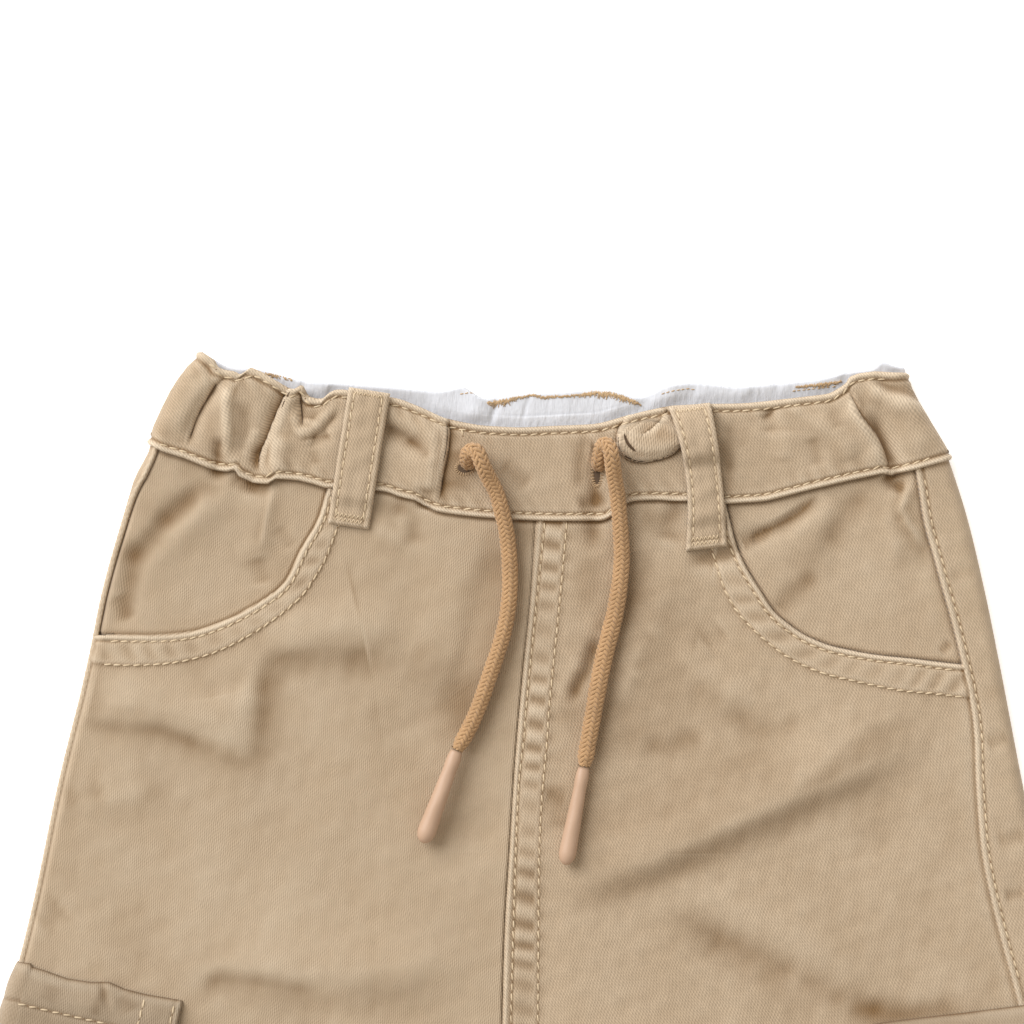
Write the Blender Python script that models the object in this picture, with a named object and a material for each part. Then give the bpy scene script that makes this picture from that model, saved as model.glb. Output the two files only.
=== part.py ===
"""A small child's cargo trousers, laid flat on a table with the front up.

The legs and the waist are flattened tubes of cloth. A place on a tube is given by
a station round it and by y, the way up the garment. On the upper face the stations
run 0 at the outer fold, 1 where its rounding ends, 2 where the inner rounding
begins and 3 at the inner fold, or at the centre seam above the crotch. On the
underside they are the same with a minus sign. Every piece is a wall between two
skins that are moved out or in from those tubes.

Sizes are in millimetres; MM turns them into metres. x runs across, y up to the
waist and z up from the table.
"""

import math

import bmesh
import bpy
import numpy as np

MM = 0.001
QUARTER = math.pi / 2
LEFT = -1
RIGHT = 1
WAIST = 0

# Driving sizes.
HEM_Y = -250.0
CROTCH_Y = 28.0
WAIST_Y = 215.0
PANEL_WIDTH = 140.0
CLOTH = 1.6
BAND_CLOTH = 2.4
BAND_RISE = 0.9
BACK_BAND_CLOTH = 2.0
POCKET_CLOTH = 1.2
SEAM_GAP = 0.3
WAIST_SEAM_GAP = 0.5
SIDE_Z = 3.2
TOP_ROUND = 4.0
BOTTOM_ROUND = 3.2
FLY_WIDTH = 9.5
FLY_RISE = 0.8
HEM_DEPTH = 18.0
HEM_RISE = 0.6

# The flat outline: y, the left edge's x and the right edge's x.
OUTLINE = [
    (-250.0, -190.0, 190.0),
    (-165.0, -186.0, 185.5),
    (-80.0, -180.0, 178.0),
    (0.0, -171.0, 169.0),
    (48.0, -162.3, 159.4),
    (84.0, -153.5, 151.2),
    (123.0, -145.2, 143.4),
    (158.0, -136.4, 136.7),
    (179.0, -131.5, 132.4),
    (206.0, -123.5, 125.6),
    (224.0, -117.3, 119.2),
    (237.0, -110.3, 112.9),
    (250.0, -102.9, 106.0),
]

# How far inside the outline the side seams lie: y, on the left and on the right.
SIDE_SEAM = [
    (-250.0, 2.4, 11.8),
    (0.0, 2.4, 13.8),
    (58.0, 2.4, 16.1),
    (80.0, 2.4, 16.9),
    (99.0, 2.4, 17.0),
    (119.0, 2.4, 14.8),
    (139.0, 2.4, 11.9),
    (162.0, 2.4, 12.1),
    (186.0, 2.4, 13.5),
    (200.0, 2.5, 13.8),
    (211.0, 2.6, 12.2),
    (224.0, 3.0, 11.0),
    (250.0, 3.0, 11.0),
]

# The centre seam: y and x.
CENTRE = [
    (28.0, -12.0),
    (48.0, -11.7),
    (80.0, -10.8),
    (104.0, -9.3),
    (128.0, -7.8),
    (152.0, -5.7),
    (176.0, -3.3),
    (199.0, -1.7),
    (250.0, 2.0),
]

# How far the inner edges stand off the centre seam: the drop below the crotch,
# then the left and the right edge's distance.
SPREAD = [
    (0.0, 0.0, 0.0),
    (8.0, 2.6, 3.2),
    (28.0, 8.5, 11.0),
    (68.0, 19.0, 25.0),
    (108.0, 28.0, 38.0),
    (193.0, 46.0, 63.0),
    (278.0, 63.0, 87.0),
]

# The waistband: the share of the width from the left edge, then the y of its lower
# seam, of the front's top edge and of the back's top edge.
BAND = [
    (0.00, 224.5, 248.5, 249.6),
    (0.03, 221.2, 245.7, 247.0),
    (0.05, 219.3, 243.9, 245.2),
    (0.10, 214.6, 243.7, 244.6),
    (0.13, 213.0, 241.5, 243.0),
    (0.17, 211.2, 238.0, 241.0),
    (0.22, 209.6, 239.1, 240.4),
    (0.31, 208.0, 236.0, 239.0),
    (0.35, 203.7, 232.5, 238.0),
    (0.37, 202.0, 230.2, 238.2),
    (0.39, 201.2, 229.2, 239.2),
    (0.42, 200.4, 227.9, 235.4),
    (0.47, 199.5, 227.3, 237.3),
    (0.51, 199.2, 227.8, 237.7),
    (0.57, 199.3, 228.4, 238.6),
    (0.60, 205.0, 230.3, 238.1),
    (0.63, 205.6, 232.1, 235.5),
    (0.67, 205.6, 233.9, 240.0),
    (0.71, 205.2, 234.4, 240.7),
    (0.76, 206.4, 235.0, 239.3),
    (0.81, 209.1, 236.4, 240.2),
    (0.85, 211.2, 237.7, 241.0),
    (0.89, 213.3, 239.1, 242.1),
    (0.91, 214.5, 242.2, 243.6),
    (0.95, 216.7, 243.5, 244.6),
    (1.00, 219.1, 243.8, 245.4),
]

# The waistband's lower seam on the back: the share of the width and y.
BACK_SEAM = [(0.0, 224.5), (0.488, 206.0), (1.0, 219.1)]

# The curved mouths of the hip pockets, from the waist to the side: x and y.
MOUTH = {
    LEFT: [
        (-64.8, 209.4),
        (-67.8, 199.6),
        (-72.6, 191.2),
        (-77.7, 181.0),
        (-83.7, 176.0),
        (-91.2, 171.6),
        (-98.7, 168.2),
        (-106.2, 166.0),
        (-115.2, 165.1),
        (-124.2, 165.1),
        (-140.0, 165.4),
    ],
    RIGHT: [
        (54.3, 205.4),
        (57.3, 193.6),
        (60.3, 186.1),
        (64.8, 178.6),
        (69.3, 172.0),
        (76.8, 166.0),
        (84.0, 162.6),
        (91.8, 160.6),
        (100.8, 159.1),
        (109.8, 158.2),
        (118.8, 157.0),
        (140.0, 154.8),
    ],
}

# The height of the upper face over the table: y and z.
LIE = [
    (-250.0, 5.6),
    (-150.0, 6.2),
    (40.0, 6.6),
    (120.0, 7.0),
    (190.0, 6.9),
    (215.0, 7.3),
    (250.0, 7.3),
]

# The folds. Each is a ridge, or a trough where its rise is negative, along a bent
# line: its start, middle and end, its rise, and its width to the left and to the
# right of someone who walks along it. The narrow side is the steep one.
FOLDS = [
    # On the waistband, each walked downwards or to the right.
    (-94.8, 243.0, -104.5, 231.0, -107.1, 220.0, -1.6, 2.4, 2.4),
    (-94.8, 242.0, -95.4, 231.0, -96.5, 218.0, 1.6, 3.2, 4.5),
    (-75.6, 240.5, -80.4, 229.0, -85.0, 212.0, -1.7, 2.4, 2.8),
    (-78.5, 226.0, -79.6, 219.0, -80.4, 211.0, 1.3, 3.0, 2.4),
    (-72.3, 239.0, -74.0, 231.0, -73.0, 224.0, -1.2, 2.4, 2.4),
    (-73.0, 225.5, -67.0, 226.5, -61.0, 233.5, -1.0, 2.6, 2.2),
    (-50.0, 228.0, -43.0, 224.5, -35.0, 221.0, -1.0, 3.4, 3.0),
    (-32.5, 234.0, -34.0, 218.0, -36.5, 202.0, 1.6, 2.4, 7.0),
    (22.0, 229.0, 31.0, 221.0, 46.0, 227.5, 1.8, 6.5, 2.2),
    (66.0, 234.0, 68.0, 229.0, 68.0, 224.0, -0.8, 3.0, 3.0),
    (77.0, 232.0, 86.0, 226.0, 96.0, 218.5, 0.9, 4.0, 3.6),
    (91.5, 238.0, 95.5, 227.0, 102.0, 213.0, 1.4, 3.0, 5.0),
    (97.0, 234.0, 102.5, 221.5, 109.0, 207.0, -1.7, 2.6, 2.8),
    (104.5, 240.0, 110.5, 228.0, 114.0, 217.0, 1.2, 4.5, 4.0),
    (-99.5, 245.0, -107.5, 233.0, -112.5, 224.0, 0.9, 3.4, 3.6),
    # On the hip pocket facings, walked downwards.
    (-103.0, 216.0, -115.0, 203.0, -129.0, 189.0, 1.2, 4.0, 6.0),
    (-91.0, 213.0, -106.0, 197.0, -124.0, 181.0, 0.9, 4.4, 6.0),
    (-82.5, 211.0, -84.0, 199.0, -87.0, 184.0, 0.8, 3.0, 7.0),
    (106.0, 211.0, 104.5, 199.0, 108.5, 186.0, 0.8, 5.0, 3.6),
    (92.0, 206.0, 82.0, 196.0, 77.0, 184.0, 0.6, 6.0, 5.0),
    # On the left front, walked to the right or downwards.
    (-86.0, 163.0, -62.0, 168.0, -36.0, 168.0, 1.5, 9.0, 6.5),
    (-44.0, 171.0, -26.0, 163.0, -14.0, 148.0, 0.9, 13.0, 10.0),
    (-139.0, 146.0, -113.0, 144.0, -86.0, 136.0, 1.2, 9.0, 5.0),
    (-90.0, 153.0, -88.5, 140.0, -93.0, 126.0, 1.0, 4.0, 11.0),
    (-147.0, 118.0, -133.0, 116.0, -116.0, 121.0, 0.7, 7.0, 4.5),
    (-103.0, 71.0, -60.0, 61.0, -15.0, 73.0, 1.2, 11.0, 7.0),
    # On the right front.
    (0.0, 86.0, 52.0, 107.0, 122.0, 139.0, 2.3, 12.0, 5.5),
    (24.0, 86.0, 58.0, 79.0, 96.0, 58.0, 1.1, 10.0, 7.0),
    (56.0, 190.0, 65.0, 198.0, 78.0, 205.0, 0.8, 5.5, 3.2),
    (45.0, 190.0, 31.0, 170.0, 22.0, 143.0, 0.9, 6.0, 7.0),
    (38.0, 166.0, 51.0, 152.0, 67.0, 146.5, 0.7, 5.0, 4.4),
    (88.0, 124.0, 98.0, 110.0, 107.0, 96.0, -0.9, 9.0, 9.0),
    # Round the crotch and down the legs.
    (-75.0, 44.0, -42.0, 39.0, -18.0, 26.0, 1.1, 8.0, 6.0),
    (-8.0, 27.0, 20.0, 37.0, 54.0, 41.0, 1.1, 8.0, 6.0),
    (-120.0, -36.0, -92.0, -45.0, -62.0, -36.0, 1.3, 10.0, 6.5),
    (-174.0, -96.0, -138.0, -110.0, -96.0, -101.0, 1.4, 11.0, 7.0),
    (-170.0, -176.0, -138.0, -166.0, -104.0, -180.0, 1.1, 9.0, 7.0),
    (48.0, -30.0, 78.0, -42.0, 106.0, -38.0, 1.2, 10.0, 6.5),
    (72.0, -100.0, 112.0, -115.0, 160.0, -101.0, 1.4, 11.0, 7.0),
    (98.0, -183.0, 134.0, -170.0, 168.0, -184.0, 1.1, 9.0, 7.0),
]

# Where the front panels' columns meet the waist seam, as shares of the width.
SEAM_SHARES = {
    LEFT: [0.265, 0.31, 0.35, 0.37, 0.39, 0.42],
    RIGHT: [0.688, 0.67, 0.63, 0.60, 0.57, 0.528],
}
# The station of the column next to the side seam, clear of the seam everywhere.
FIRST_COLUMN = {LEFT: 1.06, RIGHT: 1.13}
# Rows of all panels below the pockets, as y.
LEVELS = [
    100.0, 84.0, 68.0, 54.0, 42.0, 34.0, 27.0, 20.0, 14.0, 5.0, -8.0, -26.0,
    -38.0, -48.0, -68.0, -90.0, -103.0, -114.0, -136.0, -158.0, -172.0, -184.0,
    -208.0, -231.0, -250.0,
]
UPPER_ROWS = 10
FACING_ROWS = 4

# A pocket facing: how far under the outer face it lies where it shows and where it
# runs on beneath the front panel, and how far it runs on.
FACING_DROP = 0.6
FACING_UNDER = 2.3
FACING_LAP = 8.0

# The cargo pockets: the y of the flap's top at the outer fold, how much lower its
# inner corner is, and the width that shows on the front.
CARGO = {LEFT: (67.0, 11.4, 50.0), RIGHT: (56.0, 7.5, 61.0)}
FLAP_DEPTH = 42.0
BAG_TOP = 12.0
BAG_DEPTH = 110.0
BAG_PUFF = 1.2
BAG_INSET = 1.0
LAID_GAP = 0.45

# The belt loops: the middle of the top end, of the bottom end, and the width.
LOOPS = {
    "belt_loop_left": ((-52.2, 238.4), (-58.6, 197.6)),
    "belt_loop_right": ((43.4, 234.0), (48.6, 191.0)),
}
LOOP_WIDTH = 12.6
LOOP_CLOTH = 1.5
LOOP_BOW = 0.8

# The drawcord's free ends: x, y and z along the middle, from inside the waistband
# out through its hole and down the front.
CORDS = {
    "drawcord_left": [
        (-23.2, 214.6, 7.2),
        (-23.3, 215.2, 9.7),
        (-23.4, 217.2, 11.3),
        (-22.7, 219.5, 12.2),
        (-21.2, 220.4, 13.6),
        (-19.7, 219.5, 15.1),
        (-18.9, 217.4, 15.6),
        (-17.8, 214.8, 14.8),
        (-16.3, 211.7, 13.2),
        (-14.3, 207.8, 11.8),
        (-12.6, 202.0, 11.0),
        (-11.1, 195.2, 10.2),
        (-10.3, 187.0, 9.8),
        (-10.3, 178.0, 9.8),
        (-11.2, 170.2, 10.0),
        (-13.2, 162.2, 10.3),
        (-16.2, 153.4, 10.1),
        (-19.4, 144.2, 9.8),
        (-22.6, 137.0, 9.7),
        (-25.9, 131.1, 9.7),
    ],
    "drawcord_right": [
        (16.6, 214.2, 7.2),
        (16.4, 214.9, 9.6),
        (16.5, 216.8, 10.9),
        (16.7, 219.0, 11.5),
        (17.2, 221.1, 12.4),
        (18.3, 222.0, 14.2),
        (19.4, 221.1, 16.0),
        (19.9, 218.9, 16.8),
        (20.3, 216.2, 16.1),
        (20.9, 212.4, 14.1),
        (21.8, 207.4, 12.2),
        (22.4, 202.0, 11.0),
        (22.9, 195.2, 10.2),
        (23.2, 188.0, 9.8),
        (22.6, 181.0, 9.8),
        (21.4, 173.0, 9.9),
        (19.7, 165.8, 10.0),
        (17.5, 157.0, 10.0),
        (15.8, 148.0, 9.9),
        (14.2, 139.0, 9.8),
        (12.9, 131.5, 9.7),
        (12.0, 126.2, 9.7),
    ],
}
CORD_WIDTH = 4.8
CORD_STEPS = 3
HOLE_WIDTH = 6.2
HOLE_REACH = 12.0

# The moulded tips on the cords: the middle of each end, at the cord and free, and
# how wide the tip is beside the shape below.
TIPS = {
    "cord_tip_left": ((-26.1, 130.7, 9.7), (-36.3, 103.2, 10.2), 1.0),
    "cord_tip_right": ((11.9, 125.75, 9.7), (6.3, 96.6, 10.5), 0.93),
}
# A tip's shape: the share of its length and the radius there.
TIP_SHAPE = [
    (0.0, 0.0),
    (0.0, 1.75),
    (0.25, 2.1),
    (0.6, 2.5),
    (0.88, 2.8),
    (0.96, 2.4),
    (0.99, 1.4),
    (1.0, 0.0),
]
TIP_SIDES = 12

# The white facing inside the back of the waist.
FACING_CLOTH = 1.0
FACING_Z = 2.4
FACING_TOP_IN = 1.3
FACING_BELOW = 9.0
FACING_WAVE = 1.5
FACING_PITCH = 11.0

# Colours: red, green and blue as Blender takes them.
COLOURS = {
    "khaki twill": ((0.48, 0.36, 0.23, 1.0), 0.85),
    "white cotton": ((0.74, 0.74, 0.77, 1.0), 0.85),
    "tan braid": ((0.45, 0.28, 0.14, 1.0), 0.8),
    "tan silicone": ((0.57, 0.38, 0.26, 1.0), 0.5),
}


def smooth(at, stations, values):
    """Values read from a table's rows through a smooth curve."""
    stations = np.asarray(stations, float)
    values = np.asarray(values, float)
    slopes = np.gradient(values, stations)
    i = np.clip(np.searchsorted(stations, at) - 1, 0, len(stations) - 2)
    step = stations[i + 1] - stations[i]
    t = np.clip((at - stations[i]) / step, 0.0, 1.0)
    start = (2 * t**3 - 3 * t**2 + 1) * values[i]
    start = start + (t**3 - 2 * t**2 + t) * slopes[i] * step
    end = (3 * t**2 - 2 * t**3) * values[i + 1]
    end = end + (t**3 - t**2) * slopes[i + 1] * step
    return start + end


def ease(t):
    """0 to 1 with soft ends."""
    t = np.clip(t, 0.0, 1.0)
    return t * t * (3 - 2 * t)


OUTLINE_Y, OUTLINE_LEFT, OUTLINE_RIGHT = np.array(OUTLINE).T
SIDE_Y, SIDE_LEFT, SIDE_RIGHT = np.array(SIDE_SEAM).T
CENTRE_Y, CENTRE_X = np.array(CENTRE).T
DROP, SPREAD_LEFT, SPREAD_RIGHT = np.array(SPREAD).T
SHARE, SEAM_Y, FRONT_TOP_Y, BACK_TOP_Y = np.array(BAND).T
BACK_SHARE, BACK_SEAM_Y = np.array(BACK_SEAM).T
LIE_Y, LIE_Z = np.array(LIE).T


def outer_x(side, y):
    """The outer fold of a leg, or the edge of the waist on that side."""
    return smooth(y, OUTLINE_Y, OUTLINE_LEFT if side == LEFT else OUTLINE_RIGHT)


def centre_x(y):
    return smooth(np.maximum(y, CROTCH_Y), CENTRE_Y, CENTRE_X)


def inner_x(side, y):
    """The centre seam above the crotch and the inner fold of a leg below it."""
    below = np.maximum(CROTCH_Y - y, 0.0)
    spread = smooth(below, DROP, SPREAD_LEFT if side == LEFT else SPREAD_RIGHT)
    return centre_x(y) + side * (SEAM_GAP / 2 + spread)


def share_of(x, y):
    """The share of the width at a place, from the left edge."""
    left = outer_x(LEFT, y)
    return (x - left) / (outer_x(RIGHT, y) - left)


def place_at(share, edge):
    """The x and y of a share of the width on one of the waistband's edges."""
    y = np.interp(share, SHARE, edge)
    left = outer_x(LEFT, y)
    return left + share * (outer_x(RIGHT, y) - left), y


def fold_height(x, y, fold):
    """How far one fold raises the cloth at a place."""
    start, middle, end = np.array(fold[:6]).reshape(3, 2)
    rise, left_width, right_width = fold[6:]
    t = np.linspace(0.0, 1.0, 7)[:, None]
    bend = 2 * middle - (start + end) / 2
    line = (1 - t) ** 2 * start + 2 * t * (1 - t) * bend + t**2 * end
    best = np.full(np.shape(x), 1e9)
    signed = np.zeros(np.shape(x))
    along = np.zeros(np.shape(x))
    for k, (a, b) in enumerate(zip(line[:-1], line[1:])):
        run = b - a
        away_x = x - a[0]
        away_y = y - a[1]
        share = np.clip((away_x * run[0] + away_y * run[1]) / (run @ run), 0.0, 1.0)
        away_x = away_x - share * run[0]
        away_y = away_y - share * run[1]
        far = np.hypot(away_x, away_y)
        nearer = far < best
        side = np.sign(run[0] * away_y - run[1] * away_x)
        signed = np.where(nearer, side * far, signed)
        along = np.where(nearer, (k + share) / (len(line) - 1), along)
        best = np.where(nearer, far, best)
    width = np.where(signed > 0, left_width, right_width)
    ends = ease(along / 0.3) * ease((1 - along) / 0.3)
    return rise * np.exp(-((signed / width) ** 2)) * ends


def height(x, y):
    """The height of the upper face over the table, away from its rounded edges."""
    z = smooth(y, LIE_Y, LIE_Z)
    for fold in FOLDS:
        z = z + fold_height(x, y, fold)
    on_fly = ease((FLY_WIDTH + 1.5 - (x - centre_x(y))) / 2.0)
    on_fly = np.where(x > centre_x(y), on_fly, 0.0)
    below_band = ease((199.0 - y) / 1.5)
    above_crotch = ease((y - CROTCH_Y) / 12.0)
    z = z + FLY_RISE * on_fly * below_band * above_crotch
    return z + HEM_RISE * ease((HEM_Y + HEM_DEPTH + 1.5 - y) / 3.0)


def leg_opening(y):
    """0 above the crotch and 1 below it, where each leg has its own inner fold."""
    return ease((CROTCH_Y + 10.0 - y) / 36.0)


def tube(kind, station, y):
    """A point on the outer face of a leg's tube, or of the waist's."""
    station = np.where(station < -3, station + 6, station)
    if kind == WAIST:
        side = LEFT
        outer = outer_x(LEFT, y)
        inner = outer_x(RIGHT, y)
        closed = 1.0
    else:
        side = kind
        outer = outer_x(kind, y)
        inner = inner_x(kind, y)
        closed = leg_opening(y)
    width = np.abs(inner - outer)
    away = np.abs(station)
    radius = np.where(station >= 0, TOP_ROUND, BOTTOM_ROUND)
    outer_angle = np.clip(away, 0, 1) * QUARTER
    inner_angle = np.clip(3 - away, 0, 1) * QUARTER
    from_outer = radius * (1 - np.cos(outer_angle))
    from_outer = from_outer + np.clip(away - 1, 0, 1) * (width - 2 * radius)
    from_outer = np.where(away > 2, width - radius * (1 - np.cos(inner_angle)), from_outer)
    x = outer - side * from_outer
    rise = np.sin(outer_angle) * (1 - closed * (1 - np.sin(inner_angle)))
    upper = SIDE_Z + (height(x, y) - SIDE_Z) * rise
    lower = SIDE_Z * (1 - rise)
    return np.stack([x, y + 0 * x, np.where(station >= 0, upper, lower)], -1)


def outward(kind, station, y):
    """The unit direction out of the cloth."""
    step = 0.04
    before = station - step
    after = station + step
    if kind != WAIST:
        before = np.maximum(before, -3.0)
        after = np.minimum(after, 3.0)
    across = tube(kind, after, y) - tube(kind, before, y)
    upwards = tube(kind, station, y + 0.5) - tube(kind, station, y - 0.5)
    side = LEFT if kind == WAIST else kind
    out = -side * np.cross(across, upwards)
    return out / np.linalg.norm(out, axis=-1, keepdims=True)


def station_of(kind, x, y):
    """The station on the upper face at a given x."""
    side = LEFT if kind == WAIST else kind
    outer = outer_x(side, y)
    inner = outer_x(RIGHT, y) if kind == WAIST else inner_x(kind, y)
    width = np.abs(inner - outer)
    away = np.clip(np.abs(x - outer), 0, width)
    near_outer = np.arccos(np.clip(1 - away / TOP_ROUND, -1, 1)) / QUARTER
    near_inner = 3 - np.arccos(np.clip(1 - (width - away) / TOP_ROUND, -1, 1)) / QUARTER
    middle = 1 + (away - TOP_ROUND) / (width - 2 * TOP_ROUND)
    station = np.where(away < TOP_ROUND, near_outer, middle)
    return np.where(width - away < TOP_ROUND, near_inner, station)


def height_on(kind, station, shares, edge):
    """The y at which a station crosses one of the waistband's edges."""
    y = np.full(np.shape(station), WAIST_Y)
    for _ in range(8):
        y = np.interp(share_of(tube(kind, station, y)[..., 0], y), shares, edge)
    return y


def wall(name, outer, inner, colour):
    """A closed wall of cloth between an outer and an inner skin of equal grids."""
    rows, columns = outer.shape[:2]
    mesh = bmesh.new()
    skins = []
    for skin in (outer, inner):
        skins.append([[mesh.verts.new(p * MM) for p in row] for row in skin])
    over, under = skins
    for i in range(rows - 1):
        for j in range(columns - 1):
            mesh.faces.new((over[i][j], over[i][j + 1], over[i + 1][j + 1], over[i + 1][j]))
            mesh.faces.new((under[i][j], under[i + 1][j], under[i + 1][j + 1], under[i][j + 1]))
    rim = [(0, j) for j in range(columns)]
    rim += [(i, columns - 1) for i in range(1, rows)]
    rim += [(rows - 1, j) for j in range(columns - 2, -1, -1)]
    rim += [(i, 0) for i in range(rows - 2, 0, -1)]
    for (i, j), (k, m) in zip(rim, rim[1:] + rim[:1]):
        mesh.faces.new((over[k][m], over[i][j], under[i][j], under[k][m]))
    bmesh.ops.recalc_face_normals(mesh, faces=mesh.faces)
    return add(name, mesh, colour)


def add(name, mesh, colour):
    """An object with its own material, in the garment's collection."""
    data = bpy.data.meshes.new(name)
    mesh.to_mesh(data)
    mesh.free()
    data.shade_smooth()
    data.set_sharp_from_angle(angle=math.radians(50))
    piece = bpy.data.objects.new(name, data)
    garment.objects.link(piece)
    return dress(piece, colour)


def dress(piece, colour):
    rgba, roughness = COLOURS[colour]
    material = bpy.data.materials.new(piece.name)
    material.use_nodes = True
    shader = material.node_tree.nodes["Principled BSDF"]
    shader.inputs["Base Color"].default_value = rgba
    shader.inputs["Roughness"].default_value = roughness
    shader.inputs["Metallic"].default_value = 0.0
    piece.data.materials.append(material)
    return piece


def skins(kind, station, y, out, deep):
    """The outer and inner skins of a piece at a place on a tube."""
    face = tube(kind, station, y)
    away = outward(kind, station, y)
    return face + away * out, face - away * deep


def side_seam_x(side, y, beyond=0.0):
    """The side seam's x on the upper face, moved a little inward."""
    inset = smooth(y, SIDE_Y, SIDE_LEFT if side == LEFT else SIDE_RIGHT)
    return outer_x(side, y) - side * (inset + beyond)


def seam_station(side, y, beyond):
    """The station of the side seam, moved a little inward."""
    return station_of(side, side_seam_x(side, y, beyond), y)


def side_seam_top(side):
    """The y at which the side seam meets the waist seam."""
    y = WAIST_Y
    for _ in range(6):
        y = float(np.interp(share_of(side_seam_x(side, y), y), SHARE, SEAM_Y))
    return y


def mouth_y(side, x):
    xs, ys = np.array(sorted(MOUTH[side])).T
    return np.interp(x, xs, ys)


def row_heights(top, mouth):
    """The rows at the side seam: down to the pocket mouth, then to the first level."""
    above = np.linspace(top, mouth, FACING_ROWS + 1)[:-1]
    return np.concatenate([above, np.linspace(mouth, LEVELS[0], UPPER_ROWS + 1)])


def side_mouth_y(side):
    """The height of the pocket mouth's end at the side seam."""
    y = 160.0
    for _ in range(4):
        y = float(mouth_y(side, side_seam_x(side, y)))
    return y


def front_leg(side, name):
    """A front panel: its top edge is the pocket's mouth, then the waist seam."""
    end = side_mouth_y(side)
    tops = []
    for x, y in reversed(MOUTH[side][1:-1]):
        if side * (side_seam_x(side, y) - x) > TOP_ROUND:
            tops.append((x, y))
    corner_x = MOUTH[side][0][0]
    corner_share = float(share_of(corner_x, MOUTH[side][0][1]))
    for share in [corner_share] + SEAM_SHARES[side]:
        x, y = place_at(share, SEAM_Y)
        tops.append((float(x), float(y) - WAIST_SEAM_GAP))
    last = 3.0 - 0.03
    inner = [2.0, 2.5, last]
    top_stations = [float(seam_station(side, end, SEAM_GAP / 2))]
    top_ys = [end]
    for x, y in tops:
        top_stations.append(float(station_of(side, x, y)))
        top_ys.append(y)
    for station in inner:
        top_stations.append(station)
        top_ys.append(float(height_on(side, station, SHARE, SEAM_Y)) - WAIST_SEAM_GAP)
    columns = len(top_stations)
    fly_station = 2.0 - (FLY_WIDTH - TOP_ROUND) / PANEL_WIDTH
    spread = np.linspace(FIRST_COLUMN[side], 1.90, columns - len(inner) - 2)
    level = np.concatenate([[0.0], spread, [fly_station], inner])
    top_stations = np.array(top_stations)
    top_ys = np.array(top_ys)
    ys = []
    stations = []
    for row in range(UPPER_ROWS):
        t = row / UPPER_ROWS
        ys.append(top_ys + (LEVELS[0] - top_ys) * t)
        stations.append(top_stations + (level - top_stations) * float(ease(t)))
    for y in LEVELS:
        ys.append(np.full(columns, y))
        stations.append(level.copy())
    ys = np.array(ys)
    stations = np.array(stations)
    stations[:, 0] = seam_station(side, ys[:, 0], SEAM_GAP / 2)
    outer, deep = skins(side, stations, ys, 0.0, CLOTH)
    wall(name, outer, deep, "khaki twill")


def back_leg(side, name):
    """A back panel, flat on the table and wrapped over the side to its seam."""
    end = side_mouth_y(side)
    top = side_seam_top(side) - WAIST_SEAM_GAP
    heights = np.concatenate([row_heights(top, end), LEVELS[1:]])
    flat = [-3.0 + 0.03, -2.5, -2.0, -1.5, -1.0, -0.6, -0.2, 0.2]
    over = [0.6, 1.0] if side == RIGHT else [0.5]
    stations = np.tile(np.array(flat + over + [0.0]), (len(heights), 1))
    ys = np.tile(heights[:, None], (1, stations.shape[1]))
    stations[:, -1] = seam_station(side, heights, -SEAM_GAP / 2)
    under = height_on(side, stations[0], BACK_SHARE, BACK_SEAM_Y)
    upper = height_on(side, stations[0], SHARE, SEAM_Y)
    edge = np.where(stations[0] < 0, under, upper) - WAIST_SEAM_GAP
    edge[-1] = top
    share = (heights - LEVELS[0]) / (top - LEVELS[0])
    ys = ys + np.clip(share, 0, 1)[:, None] * (edge - top)[None, :]
    outer, deep = skins(side, stations, ys, 0.0, CLOTH)
    wall(name, outer, deep, "khaki twill")


def pocket_facing(side, name):
    """The piece that shows inside a hip pocket and runs on under the front panel."""
    end = side_mouth_y(side)
    top = side_seam_top(side) - WAIST_SEAM_GAP
    heights = row_heights(top, end)[: FACING_ROWS + 2]
    inner_end = abs(MOUTH[side][0][0]) - FACING_LAP
    outer_end = abs(side_seam_x(side, top)) - FACING_LAP
    xs = [side * inner_end]
    for share in SHARE:
        x = float(place_at(share, SEAM_Y)[0])
        if inner_end < side * x < outer_end:
            xs.append(x)
    xs.sort(key=lambda value: -abs(value))
    rows = len(heights)
    lap = heights[0] - heights[-1]
    stations = np.zeros((rows, len(xs) + 1))
    ys = np.zeros_like(stations)
    ys[:, 0] = heights
    stations[:, 0] = seam_station(side, heights, SEAM_GAP / 2)
    for j, x in enumerate(xs):
        seam_y = float(np.interp(share_of(x, WAIST_Y), SHARE, SEAM_Y)) - WAIST_SEAM_GAP
        ys[:, j + 1] = seam_y - (heights[0] - heights) / lap * (seam_y - heights[-1])
        stations[:, j + 1] = station_of(side, x, ys[:, j + 1])
    place = tube(side, stations, ys)
    line = np.array(MOUTH[side])
    best = np.full(stations.shape, 1e9)
    for a, b in zip(line[:-1], line[1:]):
        run = b - a
        away = place[..., :2] - a
        share = np.clip((away @ run) / (run @ run), 0.0, 1.0)
        best = np.minimum(best, np.linalg.norm(away - share[..., None] * run, axis=-1))
    shown = (place[..., 1] > mouth_y(side, place[..., 0])) & (
        np.abs(place[..., 0]) > abs(MOUTH[side][0][0])
    )
    drop = FACING_UNDER - (FACING_UNDER - FACING_DROP) * ease((best - 3.0) / FACING_LAP) * shown
    away = outward(side, stations, ys)
    wall(
        name,
        place - away * drop[..., None],
        place - away * (drop + POCKET_CLOTH)[..., None],
        "khaki twill",
    )


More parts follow.
